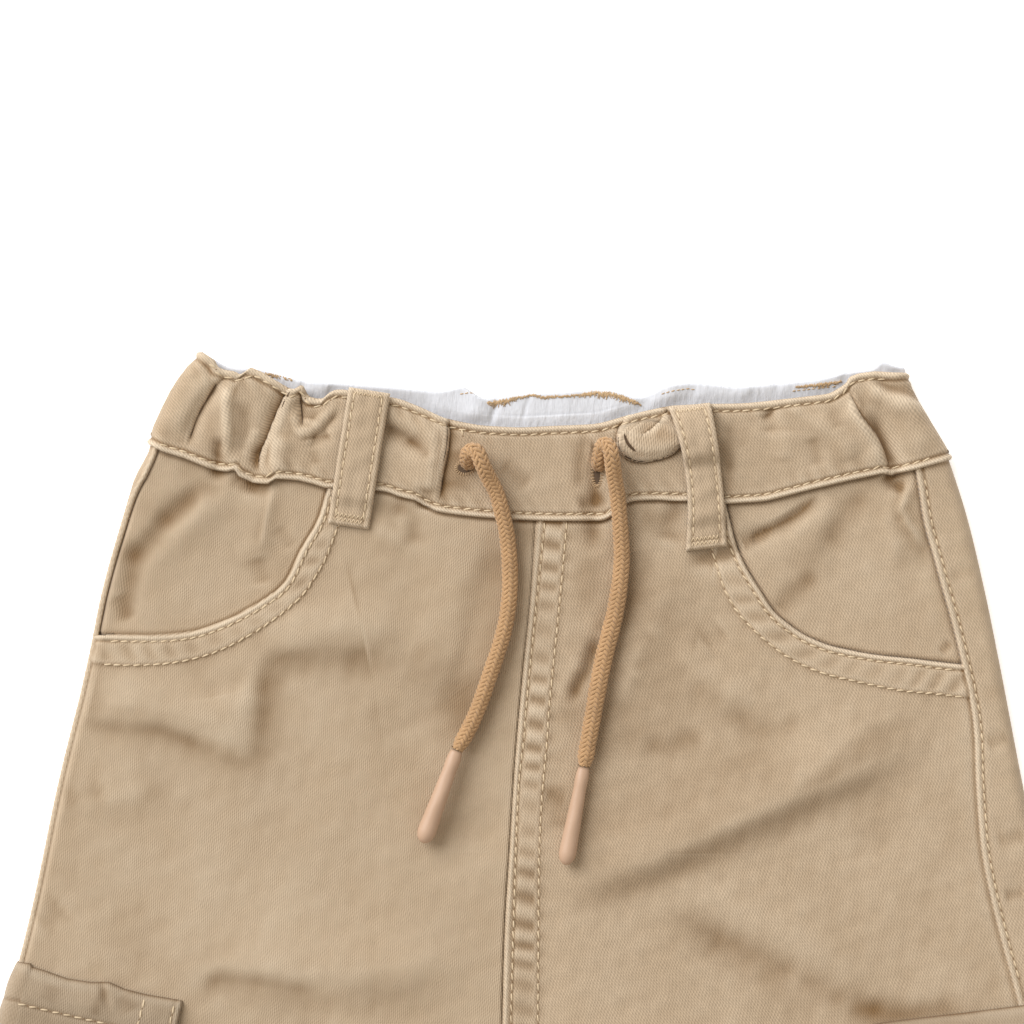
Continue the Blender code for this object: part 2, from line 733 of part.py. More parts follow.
def waistband_front():
    """The gathered front of the waistband, with a hole for each end of the cord."""
    shares = np.unique(np.concatenate([SHARE, np.linspace(0.02, 0.955, 52)]))
    first, last = (
        float(share_of(side_seam_x(side, side_seam_top(side), SEAM_GAP / 2), side_seam_top(side)))
        for side in (LEFT, RIGHT)
    )
    shares = shares[(shares > first + 0.008) & (shares < last - 0.008)]
    shares = np.concatenate([[first], shares, [last]])
    low = np.interp(shares, SHARE, SEAM_Y)
    high = np.interp(shares, SHARE, FRONT_TOP_Y)
    rows = np.linspace(0.0, 1.0, 6)[:, None]
    ys = high + (low - high) * rows
    left = outer_x(LEFT, ys)
    xs = left + shares * (outer_x(RIGHT, ys) - left)
    xs[:, 0] = side_seam_x(LEFT, ys[:, 0], SEAM_GAP / 2)
    xs[:, -1] = side_seam_x(RIGHT, ys[:, -1], SEAM_GAP / 2)
    stations = station_of(WAIST, xs, ys)
    outer, deep = skins(WAIST, stations, ys, BAND_RISE, BAND_CLOTH - BAND_RISE)
    band = wall("waistband_front", outer, deep, "khaki twill")
    for name, route in CORDS.items():
        bpy.ops.mesh.primitive_cylinder_add(
            vertices=12,
            radius=HOLE_WIDTH / 2 * MM,
            depth=HOLE_REACH * MM,
            location=tuple(MM * value for value in route[0]),
        )
        cutter = bpy.context.object
        cutter.name = "hole_" + name
        cutter.hide_render = True
        cutter.display_type = "WIRE"
        for collection in list(cutter.users_collection):
            collection.objects.unlink(cutter)
        cutters.objects.link(cutter)
        cut = band.modifiers.new("hole_" + name, "BOOLEAN")
        cut.operation = "DIFFERENCE"
        cut.solver = "EXACT"
        cut.object = cutter


def waistband_back():
    """The back of the waistband, from the right seam under the waist to the left."""
    under = np.linspace(-1.96, -1.0, 24)
    left_turn = np.array([-0.6, -0.2, 0.2])
    right_turn = np.array([2.0, 2.4, 2.8, 3.2, 3.6]) - 6.0
    stations = np.concatenate([[0.0], right_turn, under, left_turn, [0.0]])
    rows = 5
    stations = np.tile(stations, (rows, 1))
    for column, side in ((0, RIGHT), (-1, LEFT)):
        y = side_seam_top(side)
        x = side_seam_x(side, y, -SEAM_GAP / 2)
        stations[:, column] = station_of(WAIST, x, y) - 6.0 * (side == RIGHT)
    under_low = height_on(WAIST, stations[0], BACK_SHARE, BACK_SEAM_Y)
    upper_low = height_on(WAIST, stations[0], SHARE, SEAM_Y)
    low = np.where((stations[0] < 0) & (stations[0] > -3), under_low, upper_low)
    high = height_on(WAIST, stations[0], SHARE, BACK_TOP_Y)
    ys = high + (low - high) * np.linspace(0.0, 1.0, rows)[:, None]
    right = side_seam_x(RIGHT, ys[:, 0], -SEAM_GAP / 2)
    left = side_seam_x(LEFT, ys[:, -1], -SEAM_GAP / 2)
    stations[:, 0] = station_of(WAIST, right, ys[:, 0]) - 6.0
    stations[:, -1] = station_of(WAIST, left, ys[:, -1])
    face = tube(WAIST, stations, ys)
    away = outward(WAIST, stations, ys)
    lift = BAND_RISE * ease((face[..., 2] - 1.0) / 3.0)
    outer = face + away * lift[..., None]
    deep = face - away * (BACK_BAND_CLOTH - lift)[..., None]
    wall("waistband_back", outer, deep, "khaki twill")


def waist_facing():
    """The gathered white facing that shows over the front's top edge."""
    shares = np.linspace(0.045, 0.955, 44)
    low = np.interp(shares, SHARE, FRONT_TOP_Y)
    high = np.interp(shares, SHARE, BACK_TOP_Y) - FACING_TOP_IN
    rows = np.linspace(0.0, 1.0, 4)[:, None]
    ys = high + (low - FACING_BELOW - high) * rows
    left = outer_x(LEFT, ys)
    xs = left + shares * (outer_x(RIGHT, ys) - left)
    free = ease((ys - low + 1.0) / 5.0)
    wave = 0.5 + 0.5 * np.sin(xs / FACING_PITCH * 2 * math.pi + 1.3 * np.sin(xs / 17.0))
    z = FACING_Z + FACING_WAVE * wave * free
    under = np.stack([xs, ys, z], -1)
    over = np.stack([xs, ys, z + FACING_CLOTH], -1)
    wall("waist_facing", over, under, "white cotton")


def cover(x, y):
    """The height of the topmost cloth of the front, waistband included."""
    share = share_of(x, y)
    seam = np.interp(share, SHARE, SEAM_Y)
    band = (y > seam - WAIST_SEAM_GAP - 0.6) * BAND_RISE
    return height(x, y) + band


def belt_loop(name, ends):
    """A flat loop laid over the waistband, on top of whatever is under it."""
    top, bottom = (np.array(end) for end in ends)
    run = bottom - top
    run = run / np.linalg.norm(run)
    across = np.array([-run[1], run[0]])
    t = np.linspace(0.0, 1.0, 13)
    u = np.linspace(-0.5, 0.5, 4)
    middle = top + t[:, None] * (bottom - top)
    place = middle[:, None, :] + u[None, :, None] * across * LOOP_WIDTH
    near = np.linspace(-0.54, 0.54, 9)
    rest = []
    for point in middle:
        window = []
        for shift in (-4.0, -2.0, 0.0, 2.0, 4.0):
            spots = point + run * shift + near[:, None] * across * LOOP_WIDTH
            window.append(cover(spots[:, 0], spots[:, 1]).max())
        rest.append(max(window))
    z = np.array(rest) + LAID_GAP + LOOP_BOW * np.sin(math.pi * t)
    z = np.tile(z[:, None], (1, len(u)))
    under = np.concatenate([place, z[..., None]], -1)
    over = under + np.array([0.0, 0.0, LOOP_CLOTH])
    wall(name, over, under, "khaki twill")


def cargo_places(side, depth_from, depth_to, rows, inset):
    """Stations and heights of a cargo piece, and the shares along its two ways."""
    top, slope, width = CARGO[side]
    edge = [-0.25, 0.1, 0.45, 0.75, 1.0]
    inner = np.linspace(TOP_ROUND, width - inset, 6)[1:]
    depths = np.linspace(depth_from, depth_to, rows)
    stations = np.zeros((rows, len(edge) + len(inner)))
    ys = np.zeros_like(stations)
    stations[:, : len(edge)] = edge
    ys[:, : len(edge)] = (top - depths)[:, None]
    for j, away in enumerate(inner):
        y = top - depths - slope * away / width
        ys[:, len(edge) + j] = y
        x = outer_x(side, y) - side * away
        stations[:, len(edge) + j] = station_of(side, x, y)
    across = np.concatenate([np.zeros(len(edge)), inner / (width - inset)])
    return stations, ys, across, depths


def puff(across, depth):
    """How far a cargo pocket's bag stands off the leg, from its sides and foot."""
    sides = ease((1 - across) / 0.35) * ease((across + 0.25) / 0.35)
    foot = ease((BAG_DEPTH - depth) / 25.0)
    return BAG_PUFF * sides * foot


def cargo_pocket(side, name):
    stations, ys, across, depths = cargo_places(side, BAG_TOP, BAG_DEPTH, 9, BAG_INSET)
    stand = LAID_GAP + puff(across[None, :], depths[:, None])
    face = tube(side, stations, ys)
    away = outward(side, stations, ys)
    under = face + away * stand[..., None]
    over = face + away * (stand + POCKET_CLOTH)[..., None]
    wall(name, over, under, "khaki twill")


def cargo_flap(side, name):
    stations, ys, across, depths = cargo_places(side, 0.0, FLAP_DEPTH, 8, 0.0)
    bag = POCKET_CLOTH + puff(np.minimum(across, 1.0)[None, :], depths[:, None])
    over_bag = ease((depths + 2.0) / (BAG_TOP - 1.0))[:, None]
    stand = LAID_GAP + (bag + LAID_GAP) * over_bag
    face = tube(side, stations, ys)
    away = outward(side, stations, ys)
    under = face + away * stand[..., None]
    over = face + away * (stand + POCKET_CLOTH)[..., None]
    wall(name, over, under, "khaki twill")


def drawcord(name, route):
    """A cord as a round tube along a smooth curve through its points."""
    points = np.array(route)
    index = np.arange(len(points))
    steps = np.linspace(0, len(points) - 1, (len(points) - 1) * CORD_STEPS + 1)
    line = np.stack([smooth(steps, index, points[:, k]) for k in range(3)], -1)
    curve = bpy.data.curves.new(name, "CURVE")
    curve.dimensions = "3D"
    curve.bevel_depth = CORD_WIDTH / 2 * MM
    curve.bevel_resolution = 2
    curve.use_fill_caps = True
    spline = curve.splines.new("POLY")
    spline.points.add(len(line) - 1)
    for point, place in zip(spline.points, line):
        point.co = (*(place * MM), 1.0)
    cord = bpy.data.objects.new(name, curve)
    garment.objects.link(cord)
    dress(cord, "tan braid")


def cord_tip(name, at_cord, free, width):
    """A tip turned about its own axis: narrow at the cord and round at its end."""
    start = np.array(at_cord)
    axis = np.array(free) - start
    length = np.linalg.norm(axis)
    axis = axis / length
    side = np.cross(axis, (0.0, 0.0, 1.0))
    side = side / np.linalg.norm(side)
    up = np.cross(side, axis)
    mesh = bmesh.new()
    rings = []
    for share, radius in TIP_SHAPE:
        middle = start + axis * length * share
        if radius == 0.0:
            rings.append([mesh.verts.new(middle * MM)])
            continue
        ring = []
        for k in range(TIP_SIDES):
            angle = 2 * math.pi * k / TIP_SIDES
            spot = middle + width * radius * (math.cos(angle) * side + math.sin(angle) * up)
            ring.append(mesh.verts.new(spot * MM))
        rings.append(ring)
    for one, two in zip(rings[:-1], rings[1:]):
        for k in range(TIP_SIDES):
            n = (k + 1) % TIP_SIDES
            corners = [one[k % len(one)], one[n % len(one)], two[n % len(two)], two[k % len(two)]]
            mesh.faces.new(list(dict.fromkeys(corners)))
    bmesh.ops.recalc_face_normals(mesh, faces=mesh.faces)
    add(name, mesh, "tan silicone")


for item in list(bpy.data.objects):
    bpy.data.objects.remove(item)
garment = bpy.data.collections.new("cargo_trousers")
cutters = bpy.data.collections.new("cutters")
bpy.context.scene.collection.children.link(garment)
bpy.context.scene.collection.children.link(cutters)

for leg, word in ((LEFT, "left"), (RIGHT, "right")):
    front_leg(leg, "front_leg_" + word)
    back_leg(leg, "back_leg_" + word)
    pocket_facing(leg, "pocket_facing_" + word)
    cargo_pocket(leg, "cargo_pocket_" + word)
    cargo_flap(leg, "cargo_flap_" + word)
waistband_front()
waistband_back()
waist_facing()
for loop, loop_ends in LOOPS.items():
    belt_loop(loop, loop_ends)
for cord_name, cord_route in CORDS.items():
    drawcord(cord_name, cord_route)
for tip, (tip_start, tip_end, tip_width) in TIPS.items():
    cord_tip(tip, tip_start, tip_end, tip_width)
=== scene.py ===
"""The cargo trousers as the photograph shows them: cloth, sewing, cords, light, camera.

The tables and the tube functions repeat the part's source, so that each thin shell
lies on the form of its solid. Sizes are in millimetres and MM turns them into
metres. x runs across, y up to the waist and z up from the table.
"""

import math

import bpy
import numpy as np
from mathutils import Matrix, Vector
from mathutils.bvhtree import BVHTree


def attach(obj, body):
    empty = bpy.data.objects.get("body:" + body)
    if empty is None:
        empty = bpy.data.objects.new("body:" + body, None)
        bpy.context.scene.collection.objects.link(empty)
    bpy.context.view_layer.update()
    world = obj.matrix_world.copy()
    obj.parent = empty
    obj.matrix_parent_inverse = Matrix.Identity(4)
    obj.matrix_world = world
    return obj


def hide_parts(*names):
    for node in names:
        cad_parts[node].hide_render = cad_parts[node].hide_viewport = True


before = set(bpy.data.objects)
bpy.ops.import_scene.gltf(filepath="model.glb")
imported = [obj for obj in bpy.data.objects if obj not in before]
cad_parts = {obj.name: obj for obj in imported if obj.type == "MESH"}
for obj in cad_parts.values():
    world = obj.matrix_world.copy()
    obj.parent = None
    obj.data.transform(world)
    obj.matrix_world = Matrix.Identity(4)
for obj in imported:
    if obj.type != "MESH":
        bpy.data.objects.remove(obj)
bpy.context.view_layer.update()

MM = 0.001
QUARTER = math.pi / 2
TURN = 2 * math.pi
LEFT = -1
RIGHT = 1
WAIST = 0
WORD = {LEFT: "left", RIGHT: "right"}

# The camera looks straight down on the middle of the photograph.
CAMERA_PLACE = (-9.6, 202.0, 1000.0)
CAMERA_LENS = 116.5

# The photograph's scale: millimetres a pixel, the pixel at x = 0, and y at its top.
PIXEL = 0.3
PHOTO_X = 544
PHOTO_TOP_Y = 355.6

# Sizes that the part's source gives.
HEM_Y = -250.0
CROTCH_Y = 28.0
WAIST_Y = 215.0
BAND_RISE = 0.9
SIDE_Z = 3.2
TOP_ROUND = 4.0
BOTTOM_ROUND = 3.2
HEM_DEPTH = 18.0
HEM_RISE = 0.6

# The flat outline: y, the left edge's x and the right edge's x.
OUTLINE = [
    (-250, -190, 190), (-165, -186, 185.5), (-80, -180, 178), (0, -171, 169), (48, -162.3, 159.4),
    (84, -153.5, 151.2), (123, -145.2, 143.4), (158, -136.4, 136.7), (179, -131.5, 132.4),
    (206, -123.5, 125.6), (224, -117.3, 119.2), (237, -110.3, 112.9), (250, -102.9, 106),
]

# How far inside the outline the side seams lie: y, on the left and on the right.
SIDE_SEAM = [
    (-250, 2.4, 11.8), (0, 2.4, 13.8), (58, 2.4, 16.1), (80, 2.4, 16.9), (99, 2.4, 17), (119, 2.4, 14.8),
    (139, 2.4, 11.9), (162, 2.4, 12.1), (186, 2.4, 13.5), (200, 2.5, 13.8), (211, 2.6, 12.2),
    (224, 3, 11), (250, 3, 11),
]

# The centre seam: y and x.
CENTRE = [
    (28, -12), (48, -11.7), (80, -10.8), (104, -9.3), (128, -7.8), (152, -5.7), (176, -3.3), (199, -1.7),
    (250, 2),
]

# How far the inner edges stand off the centre seam: the drop below the crotch,
# then the left and the right edge's distance.
SPREAD = [
    (0, 0, 0), (8, 2.6, 3.2), (28, 8.5, 11), (68, 19, 25), (108, 28, 38), (193, 46, 63), (278, 63, 87),
]

# The waistband: the share of the width from the left edge, then the y of its lower
# seam, of the front's top edge and of the back's top edge.
BAND = [
    (0, 224.5, 248.5, 249.6), (0.03, 221.2, 245.7, 247), (0.05, 219.3, 243.9, 245.2),
    (0.1, 214.6, 243.7, 244.6), (0.13, 213, 241.5, 243), (0.17, 211.2, 238, 241),
    (0.22, 209.6, 239.1, 240.4), (0.31, 208, 236, 239), (0.35, 203.7, 232.5, 238),
    (0.37, 202, 230.2, 238.2), (0.39, 201.2, 229.2, 239.2), (0.42, 200.4, 227.9, 235.4),
    (0.47, 199.5, 227.3, 237.3), (0.51, 199.2, 227.8, 237.7), (0.57, 199.3, 228.4, 238.6),
    (0.6, 205, 230.3, 238.1), (0.63, 205.6, 232.1, 235.5), (0.67, 205.6, 233.9, 240),
    (0.71, 205.2, 234.4, 240.7), (0.76, 206.4, 235, 239.3), (0.81, 209.1, 236.4, 240.2),
    (0.85, 211.2, 237.7, 241), (0.89, 213.3, 239.1, 242.1), (0.91, 214.5, 242.2, 243.6),
    (0.95, 216.7, 243.5, 244.6), (1, 219.1, 243.8, 245.4),
]

# The waistband's lower seam on the back: the share of the width and y.
BACK_SEAM = [(0.0, 224.5), (0.488, 206.0), (1.0, 219.1)]

# The curved mouths of the hip pockets, from the waist to the side: x and y.
MOUTH = {
    LEFT: [
        (-64.8, 209.4), (-67.8, 199.6), (-72.6, 191.2), (-77.7, 181), (-83.7, 176), (-91.2, 171.6),
        (-98.7, 168.2), (-106.2, 166), (-115.2, 165.1), (-124.2, 165.1), (-140, 165.4),
    ],
    RIGHT: [
        (54.3, 205.4), (57.3, 193.6), (60.3, 186.1), (64.8, 178.6), (69.3, 172), (76.8, 166), (84, 162.6),
        (91.8, 160.6), (100.8, 159.1), (109.8, 158.2), (118.8, 157), (140, 154.8),
    ],
}

# The second row of stitches round each pocket mouth.
MOUTH_ROW = {
    LEFT: [
        (-58.6, 208.6), (-60.4, 201.5), (-62.7, 195.1), (-65.7, 187.6), (-69.6, 181), (-73.2, 176.2),
        (-79.2, 171.1), (-86.7, 166), (-95.7, 161.2), (-103.2, 158.5), (-112.2, 156.7), (-124.2, 156.1),
        (-137, 156.7),
    ],
    RIGHT: [
        (47.8, 204.6), (49, 196), (51.3, 187.6), (54.3, 178.6), (58.8, 171.1), (66.3, 163.6),
        (73.8, 158.2), (82.8, 154), (94.8, 151), (106.8, 148.6), (118.8, 147.4), (129, 146),
    ],
}

# The height of the upper face over the table: y and z.
LIE = [
    (-250, 5.6), (-150, 6.2), (40, 6.6), (120, 7), (190, 6.9), (215, 7.3), (250, 7.3),
]

# The solids' folds: start, middle and end, rise, width to the left and to the right
# of someone who walks along it.
FOLDS = [
    (-94.8, 243, -104.5, 231, -107.1, 220, -1.6, 2.4, 2.4),
    (-94.8, 242, -95.4, 231, -96.5, 218, 1.6, 3.2, 4.5),
    (-75.6, 240.5, -80.4, 229, -85, 212, -1.7, 2.4, 2.8),
    (-78.5, 226, -79.6, 219, -80.4, 211, 1.3, 3, 2.4),
    (-72.3, 239, -74, 231, -73, 224, -1.2, 2.4, 2.4),
    (-73, 225.5, -67, 226.5, -61, 233.5, -1, 2.6, 2.2),
    (-50, 228, -43, 224.5, -35, 221, -1, 3.4, 3),
    (-32.5, 234, -34, 218, -36.5, 202, 1.6, 2.4, 7),
    (22, 229, 31, 221, 46, 227.5, 1.8, 6.5, 2.2),
    (66, 234, 68, 229, 68, 224, -0.8, 3, 3),
    (77, 232, 86, 226, 96, 218.5, 0.9, 4, 3.6),
    (91.5, 238, 95.5, 227, 102, 213, 1.4, 3, 5),
    (97, 234, 102.5, 221.5, 109, 207, -1.7, 2.6, 2.8),
    (104.5, 240, 110.5, 228, 114, 217, 1.2, 4.5, 4),
    (-99.5, 245, -107.5, 233, -112.5, 224, 0.9, 3.4, 3.6),
    (-103, 216, -115, 203, -129, 189, 1.2, 4, 6),
    (-91, 213, -106, 197, -124, 181, 0.9, 4.4, 6),
    (-82.5, 211, -84, 199, -87, 184, 0.8, 3, 7),
    (106, 211, 104.5, 199, 108.5, 186, 0.8, 5, 3.6),
    (92, 206, 82, 196, 77, 184, 0.6, 6, 5),
    (-86, 163, -62, 168, -36, 168, 1.5, 9, 6.5),
    (-44, 171, -26, 163, -14, 148, 0.9, 13, 10),
    (-139, 146, -113, 144, -86, 136, 1.2, 9, 5),
    (-90, 153, -88.5, 140, -93, 126, 1, 4, 11),
    (-147, 118, -133, 116, -116, 121, 0.7, 7, 4.5),
    (-103, 71, -60, 61, -15, 73, 1.2, 11, 7),
    (0, 86, 52, 107, 122, 139, 2.3, 12, 5.5),
    (24, 86, 58, 79, 96, 58, 1.1, 10, 7),
    (56, 190, 65, 198, 78, 205, 0.8, 5.5, 3.2),
    (45, 190, 31, 170, 22, 143, 0.9, 6, 7),
    (38, 166, 51, 152, 67, 146.5, 0.7, 5, 4.4),
    (88, 124, 98, 110, 107, 96, -0.3, 9, 11),
    (-75, 44, -42, 39, -18, 26, 1.1, 8, 6),
    (-8, 27, 20, 37, 54, 41, 1.1, 8, 6),
    (-120, -36, -92, -45, -62, -36, 0.8, 10, 7.5),
    (-174, -96, -138, -110, -96, -101, 0.9, 11, 9),
    (-170, -176, -138, -166, -104, -180, 0.6, 9, 9),
    (48, -30, 78, -42, 106, -38, 0.7, 10, 8.5),
    (72, -100, 112, -115, 160, -101, 0.9, 11, 7.5),
    (98, -183, 134, -170, 168, -184, 0.6, 9, 9),
]

# The drawcord's free ends, from inside the waistband out and down the front.
CORDS = {
    "drawcord_left": [
        (-22.5, 216.6, 7.2), (-22.8, 217.2, 9.6), (-22.9, 218.4, 11.4), (-22.3, 219.8, 12.9),
        (-21, 220.4, 14.2), (-19.7, 219.5, 15.2), (-18.9, 217.4, 15.6), (-17.8, 214.8, 14.8),
        (-16.3, 211.7, 13.2), (-14.3, 207.8, 11.8), (-12.6, 202, 11), (-11.1, 195.2, 10.2),
        (-10.3, 187, 9.8), (-10.3, 178, 9.8), (-11.2, 170.2, 10), (-13.2, 162.2, 10.3),
        (-16.2, 153.4, 10.1), (-19.4, 144.2, 9.8), (-22.6, 137, 9.7), (-25.9, 131.1, 9.7),
    ],
    "drawcord_right": [
        (16.6, 216.2, 7.2), (16.5, 216.9, 9.6), (16.6, 218.2, 11), (16.8, 219.8, 12), (17.3, 221.5, 13),
        (18.3, 222.1, 14.6), (19.4, 221.1, 16), (19.9, 218.9, 16.8), (20.3, 216.2, 16.1),
        (20.9, 212.4, 14.1), (21.8, 207.4, 12.2), (22.4, 202, 11), (22.9, 195.2, 10.2), (23.2, 188, 9.8),
        (22.6, 181, 9.8), (21.4, 173, 9.9), (19.7, 165.8, 10), (17.5, 157, 10), (15.8, 148, 9.9),
        (14.2, 139, 9.8), (12.9, 131.5, 9.7), (12, 126.2, 9.7),
    ],
}
CORD_SPREAD = {"drawcord_left": 1.0, "drawcord_right": 1.06}

# The moulded tips: at the cord, the free end, and the width beside the shape below.
TIPS = {
    "cord_tip_left": ((-26.1, 130.7, 9.7), (-36.3, 103.2, 10.2), 1.0),
    "cord_tip_right": ((11.9, 125.75, 9.7), (6.3, 96.6, 10.5), 0.93),
}
TIP_SHAPE = [
    (0, 1.6), (0.015, 1.75), (0.25, 2.1), (0.6, 2.5), (0.86, 2.8),
]


def smooth(at, stations, values):
    """Values read from a table's rows through a smooth curve."""
    stations = np.asarray(stations, float)
    values = np.asarray(values, float)
    slopes = np.gradient(values, stations)
    i = np.clip(np.searchsorted(stations, at) - 1, 0, len(stations) - 2)
    step = stations[i + 1] - stations[i]
    t = np.clip((at - stations[i]) / step, 0.0, 1.0)
    start = (2 * t**3 - 3 * t**2 + 1) * values[i]
    start = start + (t**3 - 2 * t**2 + t) * slopes[i] * step
    end = (3 * t**2 - 2 * t**3) * values[i + 1]
    end = end + (t**3 - t**2) * slopes[i + 1] * step
    return start + end


def ease(t):
    """0 to 1 with soft ends."""
    t = np.clip(t, 0.0, 1.0)
    return t * t * (3 - 2 * t)


def bell(distance, width):
    return np.exp(-((distance / width) ** 2))


OUTLINE_Y, OUTLINE_LEFT, OUTLINE_RIGHT = np.array(OUTLINE).T
SIDE_Y, SIDE_LEFT, SIDE_RIGHT = np.array(SIDE_SEAM).T
CENTRE_Y, CENTRE_X = np.array(CENTRE).T
DROP, SPREAD_LEFT, SPREAD_RIGHT = np.array(SPREAD).T
BACK_SHARE, BACK_SEAM_Y = np.array(BACK_SEAM).T
LIE_Y, LIE_Z = np.array(LIE).T


def rounded(column):
    """One of the waistband's edges on a fine scale of shares, with its corners eased."""
    share, values = np.array(BAND)[:, 0], np.array(BAND)[:, column]
    fine = np.linspace(-0.05, 1.05, 1101)
    line = np.interp(fine, share, values)
    line += (fine < 0) * fine * (values[1] - values[0]) / share[1]
    spread = np.exp(-((np.arange(-24, 25) / 8.0) ** 2) / 2)
    padded = np.concatenate([np.full(24, line[0]), line, np.full(24, line[-1])])
    return np.convolve(padded, spread / spread.sum(), "valid")


SHARE = np.linspace(-0.05, 1.05, 1101)
SEAM_Y = rounded(1)
FRONT_TOP_Y = rounded(2)
BACK_TOP_Y = rounded(3)

# Small steps and notches where the gathers cross the waistband's edges: a place on
# the photograph and how far the edge rises there, both in its pixels.
SEAM_STEPS = [
    (140, -8), (150, -8), (160, -6.5), (174, -4.5), (190, -3.5), (205, -3), (226, 0), (230, 2.5),
    (233, 2.5), (238, -1.5), (254, -5), (270, -3.8), (276, 3), (300, 3.7), (315, 2), (328, -1), (345, 0),
    (400, 0.5), (417, 4), (428, 2), (438, 0), (590, 0), (604, -1.5), (612, -1.5), (622, 1.5), (640, 0),
    (686, -1.5), (726, -3.5), (764, -5), (806, -3.5), (848, -3), (882, -3.5), (886.5, -5), (891, -7.5),
    (917, -7.5), (949, -5.5), (960, -5),
]
TOP_STEPS = [
    (185, 5.5), (197, 5), (205, 2.5), (215, 2), (224, 1.5), (229, 0), (233, -1.5), (235, -1), (239, 5.5),
    (248, 3.3), (265, 1.5), (290, -0.5), (297, 1), (301, 6), (305, 4.5), (309, -2), (314, -6.5),
    (322, -9), (328, -9), (332, -4), (337, -1), (345, 0), (700, 0), (749, -2.5), (781, -3.3), (806, -4.2),
    (827, -5.3), (840, -6.2), (846, -5), (851, 0), (859, 2), (876, 2.2), (895, 0.5), (920, 0),
]


def stepped(edge, steps, y):
    """A waistband edge with the photograph's steps, found at about a given y."""
    places, rises = np.array(steps).T
    return edge + PIXEL * np.interp(across_waist(SHARE, y) / PIXEL + PHOTO_X, places, rises)


# How much farther out the left and the right edge of the hips and waist swell than in
# the part.
BULGE = {
    LEFT: (
        [145, 163, 176, 188, 197, 201, 206, 211, 214, 217, 220, 223, 228, 233, 238, 242, 245, 248],
        [0, 0.4, 0.8, 1.0, 1.15, 1.3, 1.5, 1.6, 1.2, 0.5, 0, 0.3, 1.1, 1.6, 1.9, 1.6, 0.9, 0],
    ),
    RIGHT: ([220, 223, 228, 235, 239, 242.5, 244.5], [0, -0.5, -1.3, -2.0, -2.0, -1.2, 0]),
}


def outer_x(side, y):
    """The outer fold of a leg, or the edge of the waist on that side."""
    x = smooth(y, OUTLINE_Y, OUTLINE_LEFT if side == LEFT else OUTLINE_RIGHT)
    return x + side * np.interp(y, *BULGE[side])


def across_waist(shares, ys):
    """The x of shares of the way from the left edge to the right edge."""
    left = outer_x(LEFT, ys)
    return left + shares * (outer_x(RIGHT, ys) - left)


SEAM_Y = stepped(SEAM_Y, SEAM_STEPS, 212.0)
FRONT_TOP_Y = stepped(FRONT_TOP_Y, TOP_STEPS, 240.0)


def centre_x(y):
    return smooth(np.maximum(y, CROTCH_Y), CENTRE_Y, CENTRE_X) - 0.8 * ease((y - CROTCH_Y) / 20.0)


def inner_x(side, y):
    """The centre seam above the crotch and the inner fold of a leg below it."""
    below = np.maximum(CROTCH_Y - y, 0.0)
    spread = smooth(below, DROP, SPREAD_LEFT if side == LEFT else SPREAD_RIGHT)
    return centre_x(y) + side * spread


def side_seam_x(side, y, beyond=0.0):
    """The side seam's x on the upper face, moved a little inward."""
    inset = smooth(y, SIDE_Y, SIDE_LEFT if side == LEFT else SIDE_RIGHT)
    if side == LEFT:
        inset = inset - smooth(y, *NEARER)
    return outer_x(side, y) - side * (inset + beyond)


# How much nearer the left side seam runs to the leg's edge than in the part.
NEARER = (
    [-250.0, 60.0, 145.0, 176.0, 184.0, 193.0, 201.0, 207.5, 213.0, 217.0, 221.0, 250.0],
    [0, 0.9, 1.2, 1.2, 1.1, 0.9, 0.7, 0.1, -1.1, -0.7, 0, 0],
)


def share_of(x, y):
    """The share of the width at a place, from the left edge."""
    left = outer_x(LEFT, y)
    return (x - left) / (outer_x(RIGHT, y) - left)


def place_at(share, edge):
    """The x and y of a share of the width on one of the waistband's edges."""
    y = np.interp(share, SHARE, edge)
    return across_waist(share, y), y


def near_line(x, y, line, reach):
    """For places near a line: which they are, how far to its left, and how far along.

    The last is from 0 at the start to the line's length."""
    low = line.min(0) - reach
    high = line.max(0) + reach
    near = (x > low[0]) & (x < high[0]) & (y > low[1]) & (y < high[1])
    px = x[near]
    py = y[near]
    best = np.full(px.shape, 1e9)
    signed = np.zeros(px.shape)
    along = np.zeros(px.shape)
    start = 0.0
    for a, b in zip(line[:-1], line[1:]):
        run = b - a
        length = np.hypot(*run)
        share = ((px - a[0]) * run[0] + (py - a[1]) * run[1]) / length**2
        share = np.clip(share, 0.0, 1.0)
        away_x = px - a[0] - share * run[0]
        away_y = py - a[1] - share * run[1]
        far = np.hypot(away_x, away_y)
        nearer = far < best
        side = np.where(run[0] * away_y - run[1] * away_x < 0, -1.0, 1.0)
        signed = np.where(nearer, side * far, signed)
        along = np.where(nearer, start + share * length, along)
        best = np.where(nearer, far, best)
        start += length
    return near, signed, along


def near_lines(x, y, rows, reach):
    """Each line's sizes, the places near it, and how far aside and along they are."""
    for sizes, line in rows:
        near, signed, along = near_line(x, y, line, reach * max(sizes[2:]))
        if near.any():
            yield sizes, near, signed, along / np.hypot(*np.diff(line, axis=0).T).sum()


def bent_line(start, middle, end, steps=7):
    t = np.linspace(0.0, 1.0, steps)[:, None]
    bend = 2 * np.array(middle) - (np.array(start) + np.array(end)) / 2
    return (1 - t) ** 2 * np.array(start) + 2 * t * (1 - t) * bend + t**2 * np.array(end)


FOLD_LINES = [((row[6], row[6], row[7], row[8]), bent_line(row[:2], row[2:4], row[4:6])) for row in FOLDS]


